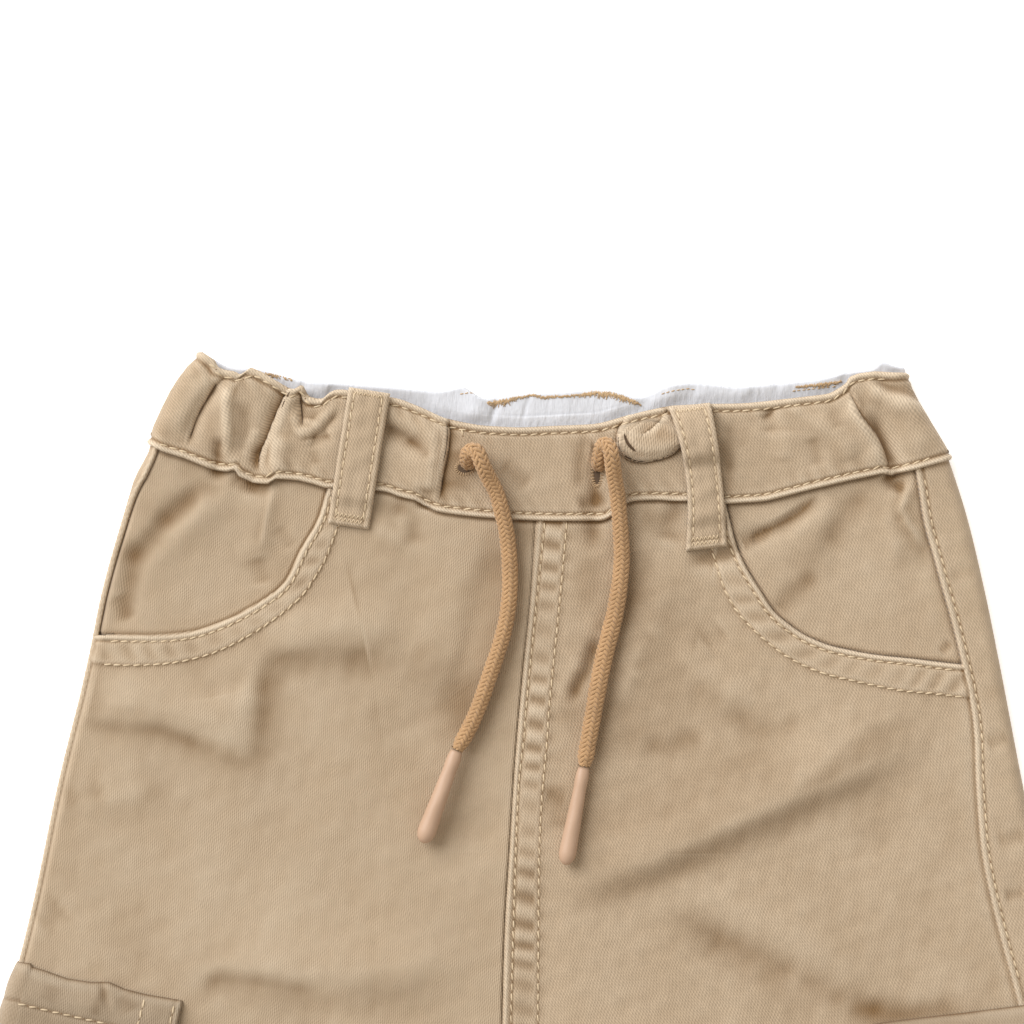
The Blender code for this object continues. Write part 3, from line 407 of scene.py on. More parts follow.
def folded(x, y):
    """How far the largest folds raise the cloth at each place."""
    x, y = np.broadcast_arrays(np.asarray(x, float), np.asarray(y, float))
    z = np.zeros(x.shape)
    for (rise, _, left_width, right_width), near, signed, along in near_lines(x, y, FOLD_LINES, 3):
        width = np.where(signed > 0, left_width, right_width)
        ends = ease(along / 0.3) * ease((1 - along) / 0.3)
        z[near] += rise * bell(signed, width) * ends
    return z


def leg_opening(y):
    """0 above the crotch and 1 below it, where each leg has its own inner fold.

    It changes over a shorter way than in the part's source, and so closes the inseam
    right below the crotch.
    """
    return ease((CROTCH_Y + 7.0 - y) / 12.0)


def tube(kind, station, y):
    """A point on the outer face of a leg's tube, or of the waist's.

    Station 0 is the outer fold and 3 the inner one, or the waist's left and right end.
    The edges are round up to 1 and from 2. Below 0 a station is on the lower face.
    """
    station = np.where(station < -3, station + 6, station)
    if kind == WAIST:
        side = LEFT
        outer = outer_x(LEFT, y)
        inner = outer_x(RIGHT, y)
        closed = 1.0
    else:
        side = kind
        outer = outer_x(kind, y)
        inner = inner_x(kind, y)
        closed = leg_opening(y)
    width = np.abs(inner - outer)
    away = np.abs(station)
    radius = np.where(station >= 0, TOP_ROUND, BOTTOM_ROUND)
    outer_angle = np.clip(away, 0, 1) * QUARTER
    inner_angle = np.clip(3 - away, 0, 1) * QUARTER
    from_outer = radius * (1 - np.cos(outer_angle))
    from_outer = from_outer + np.clip(away - 1, 0, 1) * (width - 2 * radius)
    from_outer = np.where(away > 2, width - radius * (1 - np.cos(inner_angle)), from_outer)
    x = outer - side * from_outer
    rise = np.sin(outer_angle) * (1 - closed * (1 - np.sin(inner_angle)))
    upper = SIDE_Z + (height(x, y) - SIDE_Z) * rise
    lower = SIDE_Z * (1 - rise)
    return np.stack([x, y + 0 * x, np.where(station >= 0, upper, lower)], -1)


def station_of(kind, x, y):
    """The station on the upper face at a given x."""
    side = LEFT if kind == WAIST else kind
    outer = outer_x(side, y)
    inner = outer_x(RIGHT, y) if kind == WAIST else inner_x(kind, y)
    width = np.abs(inner - outer)
    away = np.clip(np.abs(x - outer), 0, width)
    near_outer = np.arccos(np.clip(1 - away / TOP_ROUND, -1, 1)) / QUARTER
    near_inner = 3 - np.arccos(np.clip(1 - (width - away) / TOP_ROUND, -1, 1)) / QUARTER
    middle = 1 + (away - TOP_ROUND) / (width - 2 * TOP_ROUND)
    station = np.where(away < TOP_ROUND, near_outer, middle)
    return np.where(width - away < TOP_ROUND, near_inner, station)


def height_on(kind, station, shares, edge):
    """The y at which a station crosses one of the waistband's edges."""
    y = np.full(np.shape(station), WAIST_Y)
    for _ in range(8):
        y = np.interp(share_of(tube(kind, station, y)[..., 0], y), shares, edge)
    return y


def lengths_along(line):
    """How far along a line each of its points is."""
    return np.concatenate([[0.0], np.cumsum(np.linalg.norm(np.diff(line, axis=0), axis=1))])


def fine_line(points, step=1.0):
    """A smooth line through points, with a point every millimetre or so."""
    points = np.array(points, float)
    index = np.arange(len(points))
    steps = np.linspace(0, len(points) - 1, len(points) * 24)
    line = np.stack([smooth(steps, index, points[:, k]) for k in range(points.shape[1])], -1)
    length = lengths_along(line)
    at = np.linspace(0.0, length[-1], max(int(length[-1] / step), 2) + 1)
    return np.stack([np.interp(at, length, line[:, k]) for k in range(points.shape[1])], -1)


def normals_of(grid):
    """The unit normals of a grid of points, turned upwards on the upper face."""
    across = np.gradient(grid, axis=1)
    along = np.gradient(grid, axis=0)
    out = np.cross(across, along)
    return out / np.maximum(np.linalg.norm(out, axis=-1, keepdims=True), 1e-9)


def wobble(x, y, size, seed):
    """Smooth uneven waves from about -1 to 1, of a given size across."""
    pick = np.random.default_rng(seed)
    total = np.zeros(np.broadcast(x, y).shape)
    for _ in range(7):
        angle = pick.uniform(0, TURN)
        turns = pick.uniform(0.7, 1.4) * TURN / size
        total += np.sin((x * math.cos(angle) + y * math.sin(angle)) * turns + pick.uniform(0, TURN))
    return total / 3.2


# Creases seen in the photograph: how far the cloth rises and how wide the crease is,
# both in millimetres, then x and y by turns along its line on the photograph's 1024
# square. A pair is for the left and the right of someone who walks along the line.
CREASES = [
    # The broad soft folds of the legs.
    (0.8, (14, 6), 84, 711, 150, 716, 200, 728, 226, 738, 240, 726, 246, 700, 252, 672, 272, 651, 310,
     641, 380, 643, 424, 656),
    (-1.5, (12, 16), 395, 670, 430, 740, 470, 810, 500, 870),
    (0.9, (14, 5.5), 186, 996, 212, 964, 250, 958, 330, 968, 420, 960, 470, 945),
    (0.9, (18, 5), 540, 892, 640, 856, 725, 820, 785, 790, 820, 757, 850, 730, 880, 714, 960, 706),
    (-0.35, (9, 10), 860, 775, 872, 815, 878, 865),
    (-1.1, (6, 5), 650, 896, 720, 934, 800, 972, 895, 1030),
    (-0.9, 8, 542, 850, 538, 940, 536, 1060),
    (-1.3, (5.5, 4.5), 506, 528, 482, 590, 464, 670, 448, 735),
    (-1.3, 3, 593, 448, 594, 500, 592, 556),
    (-1, (4, 3.6), 680, 496, 672, 518, 667, 546),
    (-1.3, (3.4, 2.6), 682, 562, 722, 556, 748, 541, 775, 524),
    (-1.2, (2.6, 2.2), 222, 432, 218, 456, 216, 484),
    (-1, (2, 2.2), 258, 440, 254, 470, 252, 498),
    (-0.5, 5, 205, 462, 172, 500, 146, 530),
    (-0.9, 3, 137, 536, 130, 585, 124, 632),
    (-0.9, 2.6, 428, 484, 424, 512),
    # Waistband, left of the left loop.
    ((-0.9, 0.9), (2.4, 4), 230, 376, 222, 379, 214, 383, 204, 399, 195, 416, 190, 431, 187, 449),
    (0.6, (1, 1.2), 230, 376, 228, 395, 227, 410, 228, 433, 227, 462),
    (-0.7, 2.6, 243, 400, 250, 430, 238, 460),
    (0.5, 1.8, 259, 426, 252, 443, 245, 460),
    ((1.1, -1.2), (2.4, 4.4), 295, 380, 284, 403, 275, 424, 269, 440, 263, 454, 261, 476),
    (0.4, 1.1, 297, 388, 284, 412, 276, 439, 273, 468),
    ((-1.2, -0.9), (2.2, 0.9), 299, 386, 301, 408, 301, 420, 303, 430),
    ((1.1, 0.9), (1.5, 1.2), 294, 404, 295, 424, 301, 433, 313, 431, 326, 418, 339, 402),
    (-1, 3, 315, 398, 309, 424),
    (-0.7, (2.4, 2), 308, 439, 320, 440, 334, 434),
    (-0.4, 2.4, 312, 440, 317, 468),
    # Waistband, from the left loop to the middle.
    (-0.8, (2.2, 3.2), 370, 420, 402, 433, 434, 452),
    (0.5, 2.2, 383, 411, 406, 424, 424, 435),
    (-0.5, 2, 404, 438, 421, 448, 434, 459),
    ((-0.9, 0.9), (3.6, 3), 445, 406, 447, 432, 445, 455, 440, 478, 437, 506),
    (-0.5, 3.2, 498, 463, 514, 474, 532, 487),
    (-0.6, (2, 2.2), 586, 432, 579, 465, 579, 493),
    (-0.9, 1.1, 592, 436, 596, 465, 601, 490),
    (-0.5, 2.6, 574, 505, 592, 503, 612, 498),
    # The tuck beside the right cord and its slit.
    ((1.6, -0.9), (13, 1.3), 636, 408, 622, 426, 619, 437, 620, 447, 625, 455, 638, 460, 655, 458, 671,
     452, 684, 440, 700, 428),
    (-1, (0.9, 0.6), 624, 434, 628, 444, 636, 452),
    (0.5, 0.9, 619, 440, 623, 449, 634, 456),
    (-0.9, 2, 660, 402, 670, 412, 679, 427),
    # Waistband, right of the right loop.
    (-0.5, 1.4, 778, 403, 771, 413, 758, 422),
    (-0.6, 2.4, 729, 418, 731, 478),
    (0.5, 3, 786, 428, 783, 462),
    (-0.5, (2.6, 3), 811, 434, 819, 470),
    (0.4, 3, 835, 424, 849, 462),
    (0.4, (3, 2), 781, 403, 812, 419, 840, 439),
    ((-1.2, 0.8), (4.4, 2.6), 846, 388, 855, 412, 863, 424, 876, 441, 884, 464, 888, 480),
    (0.3, 0.8, 852, 391, 860, 412),
    (1.2, (1.5, 3.2), 860, 382, 884, 397, 911, 405, 934, 412),
    (-1, (2.4, 2), 868, 378, 896, 389, 926, 402),
    # Inside the left hip pocket.
    (-0.6, (3.4, 3), 231, 472, 208, 487, 180, 503, 150, 530),
    (-0.6, (3.6, 3), 203, 487, 178, 515, 153, 538, 129, 571),
    (0.4, 3, 216, 491, 186, 521, 159, 545),
    (-0.7, (2, 2.5), 231, 473, 246, 485, 273, 492),
    ((0.45, 0), (2.6, 3), 276, 480, 267, 508, 258, 552),
    (-0.3, 2.4, 277, 526, 294, 549),
    (-0.5, 3.2, 257, 556, 264, 586),
    (-0.4, 3, 116, 594, 128, 622),
    # Inside the right hip pocket.
    (-1, (2.6, 1.6), 822, 494, 798, 513, 773, 529, 743, 542),
    (0.4, (3.5, 3), 838, 498, 812, 522, 786, 545, 772, 566),
    (-0.6, (3.6, 3), 871, 490, 848, 510, 836, 532, 826, 553),
    (-0.8, (2, 2.4), 886, 473, 893, 485, 905, 488),
    (0.8, 1.8, 912, 473, 907, 496, 901, 508, 907, 521, 916, 534, 923, 553),
    (-0.3, (2, 2.4), 899, 493, 898, 508, 903, 524),
    (-0.5, (3.4, 3), 818, 570, 785, 602, 777, 622),
    (0.3, 3, 923, 560, 931, 600, 937, 640),
    (-0.4, 1.4, 940, 653, 951, 642),
    # Left leg.
    (0.5, 3, 368, 526, 400, 536, 407, 507),
    (-0.5, 3.4, 390, 500, 407, 511, 413, 530, 414, 550),
    ((0.25, -0.5), (6, 6.5), 76, 719, 126, 724, 168, 727, 200, 739, 227, 743),
    ((0.2, -0.35), (7, 7.5), 236, 741, 245, 728, 253, 703, 263, 665, 284, 650, 335, 652),
    (-0.5, 7, 335, 655, 385, 672, 430, 660),
    (-0.4, 4, 62, 799, 108, 788),
    (-0.4, 5, 36, 927, 66, 903),
    ((0.25, -0.5), (6, 7), 188, 1003, 210, 976, 242, 974, 290, 980, 335, 987),
    (-0.4, 6, 400, 740, 440, 800, 480, 850),
    # Right leg.
    (-1.3, (2.4, 2.6), 599, 632, 589, 666, 579, 683, 567, 708),
    (0.4, 2.6, 584, 655, 572, 678, 560, 704),
    (0.5, 3, 665, 615, 632, 672, 620, 710),
    (-0.4, 2.4, 655, 628, 635, 675),
    (-0.5, 4, 640, 737, 671, 751, 707, 730),
    (-0.6, 4, 726, 700, 753, 728, 785, 729, 810, 712),
    (-0.4, 4, 726, 628, 701, 645),
    (-0.6, (7, 6), 690, 932, 715, 947, 757, 972, 798, 987),
    (-0.8, (4.5, 4), 845, 1002, 905, 1013, 972, 1006),
    (-0.25, 2.6, 545, 794, 567, 800),
    (-0.5, 2.6, 985, 746, 1010, 736),
    (-0.5, 3, 994, 841, 1027, 833),
    (-0.5, 2.2, 1002, 897, 1027, 892),
    (-0.3, 2.6, 946, 577, 978, 572),
    # Below the photograph's frame: soft pulls from the crotch and folds at the knees.
    (-0.7, (4.5, 6), 500, 1092, 430, 1122, 350, 1180, 285, 1255),
    (0.6, 5, 470, 1150, 390, 1190, 310, 1262),
    (-0.5, 5, 425, 1252, 350, 1300, 250, 1340),
    (-0.6, (4, 5.5), 55, 1560, 140, 1592, 240, 1634, 325, 1702),
    (-0.5, (4, 5), 205, 1508, 300, 1480, 378, 1436),
    (0.5, (5, 4), 28, 1806, 110, 1838, 226, 1848),
    (-0.5, 4, 96, 1900, 190, 1884, 296, 1902),
    (-0.7, (6, 4.5), 560, 1104, 640, 1146, 716, 1226, 764, 1312),
    (0.5, 5, 600, 1170, 660, 1230, 700, 1300),
    (-0.5, 5, 632, 1292, 738, 1348, 846, 1366),
    (-0.6, (5, 4), 764, 1524, 860, 1560, 956, 1646),
    (-0.5, (4, 5), 806, 1722, 900, 1690, 1012, 1704),
    (0.5, (4, 5), 858, 1872, 946, 1850, 1056, 1862),
]

# Painted shade and painted highlight: darker in hollows and on the folds' shadowed sides, paler
# on lit ridges. The shade, how wide it is in millimetres, and x and y by turns, in the same way.
PAINTED_SHADES = [
    # Waistband, left of the left loop.
    ((-0.55, 0.15), (2, 2.5), 224, 378, 214, 383, 204, 399, 195, 416, 190, 431, 187, 447),
    (-0.35, 2.4, 216, 390, 213, 415, 210, 440, 206, 460),
    (0.3, 0.6, 229, 384, 227.5, 395, 227, 410, 228, 424, 227, 450),
    (-0.35, 2.6, 239, 398, 243, 416, 237, 440),
    (0.2, 1.2, 236, 392, 244, 409, 252, 428, 250, 439, 242, 449),
    (-0.5, (3, 2.6), 224, 428, 220, 450, 217, 470),
    (-0.15, (4, 5), 197, 362, 172, 400, 156, 444),
    ((-0.1, -0.7), (0.8, 3.2), 292, 387, 284, 403, 275, 424, 269, 440, 263, 454, 261, 470),
    (0.25, 1, 290, 402, 281, 424, 276, 448, 270, 472),
    (-0.45, 2.2, 262, 440, 257, 456, 252, 474),
    (-0.9, 0.55, 300, 393, 301, 410, 302, 425),
    (-0.6, 2.2, 306, 404, 311, 412, 318, 419),
    ((-0.2, -0.55), (1, 1.2), 300, 434, 312, 436, 325, 436, 337, 431),
    (-0.25, 2, 312, 450, 315, 470),
    # Waistband, from the left loop to the middle.
    (-0.5, 1, 381, 420, 374, 470, 371, 502),
    (-0.32, 3, 372, 418, 402, 432, 436, 452),
    (-0.3, 2, 402, 440, 420, 450, 434, 461),
    ((-0.7, 0.15), (6.5, 2.5), 446, 411, 447, 434, 445, 455, 440, 478, 438, 503),
    (-0.6, 3.6, 460, 446, 463, 468, 456, 492),
    (-0.35, 3, 441, 482, 446, 506),
    (-0.3, 3.2, 500, 463, 515, 475, 532, 487),
    (-0.75, (3.6, 2.6), 592, 440, 594, 465, 595, 490, 600, 515),
    (-0.3, 2.6, 580, 432, 578, 470, 580, 518),
    (-0.35, 2.6, 575, 505, 592, 500, 604, 492),
    # The tuck beside the right cord.
    ((0.3, -1.2), (0.6, 1), 622, 430, 619, 438, 620, 447, 625, 455, 638, 460, 655, 458, 671, 452, 680,
     446),
    (-1, 0.8, 623.5, 434, 628, 444, 635.5, 452.5),
    (-0.7, (2, 2.4), 655, 432, 667, 437, 679, 441),
    (-0.8, 0.9, 660, 403, 669, 416, 679, 431),
    # Waistband, right of the right loop.
    (-0.6, (2, 1.4), 719, 436, 727, 470, 730, 500),
    ((-0.65, 0.12), (3.2, 1.5), 848, 394, 855, 412, 863, 424, 876, 441, 884, 464, 887, 476),
    (-0.4, 2, 864, 389, 872, 398, 884, 403),
    (-0.35, (2.4, 2), 878, 384, 900, 391, 924, 402),
    (0.3, 1.6, 866, 386, 884, 398, 906, 405, 930, 411),
    (-0.28, 2.2, 738, 428, 743, 448),
    ((-0.4, -0.1), 1.2, 776, 403, 772, 411, 762, 414),
    (-0.25, 2, 811, 434, 818, 462),
    (-0.22, 2, 834, 440, 842, 462),
    (-0.25, 2, 826, 412, 838, 430),
    # Inside the left hip pocket.
    (-0.42, (4.4, 3.6), 228, 470, 208, 486, 185, 500, 160, 522, 138, 548, 128, 590, 122, 632),
    (-0.2, 6, 200, 478, 165, 500, 140, 530, 125, 580),
    (-0.15, 5, 276, 540, 280, 590),
    (-0.2, (2.4, 4), 270, 494, 262, 530, 256, 570),
    (-0.35, 2.2, 236, 484, 254, 488, 272, 488),
    # Inside the right hip pocket.
    ((-0.6, -0.2), (1, 2.4), 818, 492, 798, 513, 775, 526, 743, 541),
    (-0.3, 4.2, 884, 482, 865, 494, 842, 522, 812, 556, 798, 600),
    (-0.5, 1.8, 886, 472, 892, 481, 903, 490, 914, 494),
    (-0.35, (1.4, 3), 896, 488, 897, 508, 905, 526, 918, 545, 930, 560),
    (-0.3, 4, 818, 570, 785, 602, 770, 622),
    # Left leg.
    ((-0.2, -0.34), (4, 8), 258, 706, 270, 670, 290, 650, 345, 646, 400, 654),
    (-0.26, 7, 225, 745, 245, 768, 262, 740),
    (-0.4, 8, 405, 650, 446, 690, 458, 745),
    (-0.15, (5, 6), 88, 716, 150, 724, 200, 740, 240, 764),
    (-0.2, 5, 240, 772, 252, 740, 263, 700),
    (-0.2, 5, 58, 800, 112, 790),
    (-0.2, (7, 6), 200, 984, 260, 990, 330, 1000, 400, 992, 445, 972),
    (-0.55, (5, 5.5), 503, 528, 501, 580, 488, 650, 468, 710, 455, 750),
    (0.22, 15, 130, 840, 240, 900, 370, 900),
    (0.16, 9, 160, 560, 200, 620),
    (-0.28, 3, 376, 500, 398, 509, 409, 520, 413, 548),
    # Right leg.
    (-0.6, 3.6, 515, 528, 534, 532),
    (-0.42, 3.6, 593, 508, 591, 556, 582, 612),
    (-0.3, 3, 617, 520, 622, 600, 606, 690),
    (-0.4, (2.4, 3.2), 640, 514, 660, 518, 684, 512),
    (-0.35, 4, 640, 545, 634, 590, 626, 630),
    (-0.4, 6.5, 552, 900, 612, 884, 658, 864, 737, 831, 805, 801, 846, 762, 878, 741, 930, 731),
    (-0.14, 12, 866, 765, 872, 845),
    (-0.3, (14, 16), 640, 560, 655, 640, 672, 760),
    (-0.42, 7, 660, 905, 748, 962, 819, 1000, 925, 1030),
    (-0.5, 5, 840, 1008, 910, 1016, 985, 1008),
    (-0.25, 5.5, 610, 722, 650, 742, 700, 738),
    (-0.35, (3.4, 3), 608, 694, 602, 730, 596, 764),
    (-0.3, 3.4, 556, 782, 568, 830),
    (-0.5, (3.2, 3), 604, 606, 598, 640, 588, 668, 572, 706, 564, 734),
    (-0.4, 3.2, 553, 780, 553, 830),
    (-0.2, 4.6, 696, 680, 728, 712, 770, 726),
    (-0.22, 4.5, 528, 850, 524, 940, 520, 1040),
    (-0.3, 12, 560, 850, 640, 818, 720, 780, 800, 744),
    (0.16, 8, 850, 540, 880, 625),
    (0.16, 7, 985, 690, 995, 820),
    # The left flap.
    (-0.4, 2.6, 56, 982, 50, 1000),
    (-0.6, (2, 1.6), 107, 983, 101, 998, 95, 1014),
    (-0.5, 2.6, 124, 992, 134, 1010),
    (0.25, 1.6, 20, 968, 60, 982, 95, 987),
]

# Sewing seen in the photograph, on its own square.
FLY_ROWS = [
    [(545, 521), (536, 610), (527, 700), (524, 739), (519, 784), (516, 854), (513, 948), (511, 1024)],
    [(567, 521), (560, 600), (550, 700), (547, 742), (542, 798), (540, 840), (539, 880), (538, 1024)],
]

# How the cloth's pieces lie, in millimetres.
STITCH_PITCH = 3.1
STITCH_LENGTH = 2.5
STITCH_WIDTH = 0.52
MOUTH_BAND = 0.55
FACING_DROP = 0.7
POCKET_CLOTH = 1.2
PHOTO_STEP = 0.8
LOWER_STEP = 3.0
PHOTO_FOOT_Y = 42.0
BAND_CLOTH = 2.4
LAID_GAP = 0.45
# How far the panels run on under the waistband, and the height below which their
# columns run straight down the leg.
UNDER_BAND = 1.8
LEVEL_Y = 100.0

# How many columns of points the wide pieces have along the waist.
SEAM_COLUMNS = 112
INNER_COLUMNS = 10
BAND_COLUMNS = 470
FACING_COLUMNS = 460

# The cargo pockets, as in the part's source.
CARGO = {LEFT: (67.0, 11.4, 52.4), RIGHT: (56.0, 7.5, 61.0)}
FLAP_DEPTH = 42.0
BAG_TOP = 12.0
BAG_DEPTH = 110.0
BAG_PUFF = 1.2
BAG_INSET = 1.0

# The belt loops, as in the part's source: the middle of the top and of the bottom.
LOOPS = {
    "belt_loop_left": ((-52.2, 238.4), (-58.6, 197.6)),
    "belt_loop_right": ((43.4, 234.0), (48.6, 191.0)),
}
LOOP_WIDTH = 12.6
LOOP_CLOTH = 1.5
LOOP_BOW = 0.8

# The white facing, as in the part's source.
FACING_CLOTH = 1.0
FACING_Z = 2.4
FACING_BELOW = 9.0
FACING_WAVE = 1.5


def in_frame(points):
    """Places on the photograph's square as x and y in millimetres."""
    points = np.array(points, float)
    return np.stack([(points[:, 0] - PHOTO_X) * PIXEL, PHOTO_TOP_Y - PIXEL * points[:, 1]], -1)


def sided(row):
    """A row's sizes on the left and on the right, and its smooth line."""
    size, width, *line = row
    size = size if isinstance(size, tuple) else (size, size)
    width = width if isinstance(width, tuple) else (width, width)
    return (*size, *width), fine_line(in_frame(np.reshape(line, (-1, 2))), 1.6)


CREASE_LINES = [sided(row) for row in CREASES]
PAINTED_SHADE_LINES = [sided(row) for row in PAINTED_SHADES]


def creased(x, y):
    """How far the photograph's creases raise the cloth at each place."""
    x, y = np.broadcast_arrays(np.asarray(x, float), np.asarray(y, float))
    z = np.zeros(x.shape)
    for sizes, near, signed, along in near_lines(x, y, CREASE_LINES, 2.6):
        left_rise, right_rise, left_width, right_width = sizes
        ends = ease(along / 0.25) * ease((1 - along) / 0.25)
        narrow = min(left_width, right_width)
        turn = 0.35 if left_rise * right_rise < 0 and narrow < 4.0 else 0.3 + 0.4 * narrow
        on_left = ease((signed + turn) / (2 * turn))
        rise = on_left * left_rise * bell(signed, left_width)
        rise += (1 - on_left) * right_rise * bell(signed, right_width)
        z[near] += rise * ends
    return z


def painted_shade_at(x, y):
    """The painted shade and painted highlight at each place, from -1 to 1."""
    x, y = np.broadcast_arrays(np.asarray(x, float), np.asarray(y, float))
    tone = np.zeros(x.shape)
    for sizes, near, signed, along in near_lines(x, y, PAINTED_SHADE_LINES, 2.3):
        left_shade, right_shade, left_width, right_width = sizes
        ends = ease((along + 0.02) / 0.2) * ease((1.02 - along) / 0.2)
        amount = np.where(signed > 0, left_shade, right_shade)
        tone[near] += amount * bell(signed, np.where(signed > 0, left_width, right_width)) * ends
    return np.clip(tone, -1.2, 0.6)


def height(x, y):
    """The height of the upper face over the table, away from its rounded edges."""
    z = smooth(y, LIE_Y, LIE_Z) + folded(x, y) + creased(x, y)
    z = z + 0.16 * wobble(x, y, 26.0, 3) + 0.05 * wobble(x, y, 8.0, 5)
    return z + HEM_RISE * ease((HEM_Y + HEM_DEPTH + 1.5 - y) / 3.0)


def blurred(values, reach):
    """Values averaged over their neighbours on a grid."""
    weights = np.exp(-((np.arange(-reach, reach + 1) / (reach / 2.0)) ** 2) / 2)
    weights /= weights.sum()
    for axis in (0, 1):
        pad = [(0, 0), (0, 0)]
        pad[axis] = (reach, reach)
        padded = np.pad(values, pad, mode="edge")
        size = values.shape[axis]
        total = np.zeros_like(values)
        for k, weight in enumerate(weights):
            total += weight * np.take(padded, range(k, k + size), axis=axis)
        values = total
    return values


def relief_shade_and_wear(z):
    """Painted shade, darker in hollows, and paler ridges for wear and painted highlight, from -1 to 1."""
    sharp = (z - blurred(z, 4)) / 0.22
    soft = (z - blurred(z, 10)) / 0.9
    return np.clip(0.5 * sharp + 0.22 * soft, -0.75, 0.75)


def roll(distance, radius):
    """How far a folded edge has turned down at a distance from it."""
    q = np.clip(distance / radius, 0.0, 1.0)
    return 1 - np.sqrt(np.maximum(1 - (1 - q) ** 2, 0.0))


def add(name, data):
    """A new object in the scene."""
    made = bpy.data.objects.new(name, data)
    bpy.context.scene.collection.objects.link(made)
    return made


def placed(name, data, material):
    """A smooth-shaded mesh as a piece that rides on the one body."""
    data.shade_smooth()
    data.materials.append(material)
    piece = add(name, data)
    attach(piece, "root")
    return piece


def ring_faces(rings, corners, start=0):
    """The faces between rings of points that follow each other."""
    index = start + np.arange(rings * corners).reshape(rings, corners)
    following = np.roll(index, -1, axis=1)
    quads = np.stack([index[:-1], following[:-1], following[1:], index[1:]], -1)
    return index, quads.reshape(-1, 4)


def give(data, name, kind, values):
    """Stores values at the points of a mesh for its material."""
    made = data.attributes.new(name, kind, "POINT")
    made.data.foreach_set("value" if kind == "FLOAT" else "vector", values.ravel())


def cloth_mesh(name, node, grid, weave, tone, material):
    """A thin shell over a grid of points, with its weave's directions and tone."""
    rows, columns = grid.shape[:2]
    index = np.arange(rows * columns).reshape(rows, columns)
    corners = [index[:-1, :-1], index[:-1, 1:], index[1:, 1:], index[1:, :-1]]
    quads = np.stack(corners, -1).reshape(-1, 4)
    upper = grid[..., 2] > 5.0
    if (normals_of(grid)[..., 2] * upper).sum() < 0:
        quads = quads[:, ::-1]
    data = bpy.data.meshes.new(name)
    data.from_pydata((grid * MM).reshape(-1, 3).tolist(), [], quads.tolist())
    flat = np.zeros((rows * columns, 3))
    flat[:, :2] = weave.reshape(-1, 2)
    give(data, "weave", "FLOAT_VECTOR", flat)
    # tone holds painted shade and painted highlight, and the paler colour of wear.
    give(data, "tone", "FLOAT", np.clip(tone, -1.5, 1.5))
    piece = placed(name, data, material)
    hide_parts(node)
    return piece


def joined_mesh(name, parts, material):
    """One mesh from many lists of points and faces."""
    points = []
    faces = []
    start = 0
    for part_points, part_faces in parts:
        points.append(part_points)
        faces.extend([[start + i for i in face] for face in part_faces])
        start += len(part_points)
    data = bpy.data.meshes.new(name)
    data.from_pydata((np.concatenate(points) * MM).tolist(), [], faces)
    return placed(name, data, material)


def outward_of(grid):
    """Unit normals that point up on the upper face."""
    out = normals_of(grid)
    if (out[..., 2] * (grid[..., 2] > 5.0)).sum() < 0:
        out = -out
    return out


# The middle and half size of the tuck whose cloth lies turned.
TUCK = np.array([31.0, 223.5])
TUCK_HALF = np.array([9.0, 5.5])


def weave_of(kind, grid, stations):
    """Where each point lies on the flat cloth: the turned sides count at their length."""
    side = LEFT if kind == WAIST else kind
    turned = np.clip(6.5 - grid[..., 2], 0.0, 6.5) * (np.abs(stations) < 1.5)
    flat = np.stack([grid[..., 0] + side * turned, grid[..., 1]], -1)
    if kind == WAIST:
        turned = turned_weave(flat - TUCK, 0.62, 1.0) + TUCK
        inside = ease((1.15 - np.hypot(*np.moveaxis((flat - TUCK) / TUCK_HALF, -1, 0))) / 0.25)
        return turned_weave(flat + (turned - flat) * inside[..., None], -0.12, 1.0)
    return turned_weave(flat, 0.5, 1.2) if kind == LEFT else turned_weave(flat, -0.1, 1.0)


def turned_weave(flat, angle, finer):
    """The weave's places turned by an angle and set closer."""
    cos = np.cos(angle) * finer
    sin = np.sin(angle) * finer
    x = flat[..., :1]
    y = flat[..., 1:]
    return np.concatenate([x * cos - y * sin, x * sin + y * cos], -1)


def seam_top_y(side):
    """The y at which the side seam meets the waist seam."""
    y = WAIST_Y
    for _ in range(6):
        y = float(np.interp(share_of(side_seam_x(side, y), y), SHARE, SEAM_Y))
    return y


def waist_seam_y(x, y):
    """The height of the waist seam at a place."""
    return np.interp(share_of(x, y), SHARE, SEAM_Y)


def mouth_y(side, x):
    xs, ys = np.array(sorted(MOUTH[side])).T
    return np.interp(x, xs, ys)


MOUTH_LINES = {side: fine_line(MOUTH[side], 1.0) for side in (LEFT, RIGHT)}
ROW_LINES = {side: fine_line(MOUTH_ROW[side], 1.0) for side in (LEFT, RIGHT)}


def inward_of(side, x, y, line, reach=14.0):
    """The distance from a pocket line into the front panel, and how far along it."""
    inward = np.full(np.shape(x), 99.0)
    place = np.zeros(np.shape(x))
    near, signed, along = near_line(x, y, line, reach)
    inward[near] = -side * signed
    place[near] = along
    return inward, place


def puckered(along, across, pitch, seed):
    """Small slanted waves between two rows of stitches."""
    pick = np.random.default_rng(seed)
    drift = pick.uniform(0, TURN, 4)
    phase = TURN * (along + 0.55 * across) / pitch
    phase = phase + 0.9 * np.sin(along / 11.0 + drift[0]) + 0.7 * np.sin(along / 4.3 + drift[1])
    strength = 0.65 + 0.35 * np.sin(along / 9.0 + drift[2])
    return np.sin(phase) * strength


def laid_on(kind, stations, ys):
    """A grid of points on a tube, with its normals and its weave."""
    grid = tube(kind, stations, ys)
    return grid, outward_of(grid), weave_of(kind, grid, stations)


def steps_between(*runs):
    """Evenly spaced values, run after run, each run without its last."""
    return np.concatenate([np.linspace(first, last, count)[:-1] for first, last, count in runs])


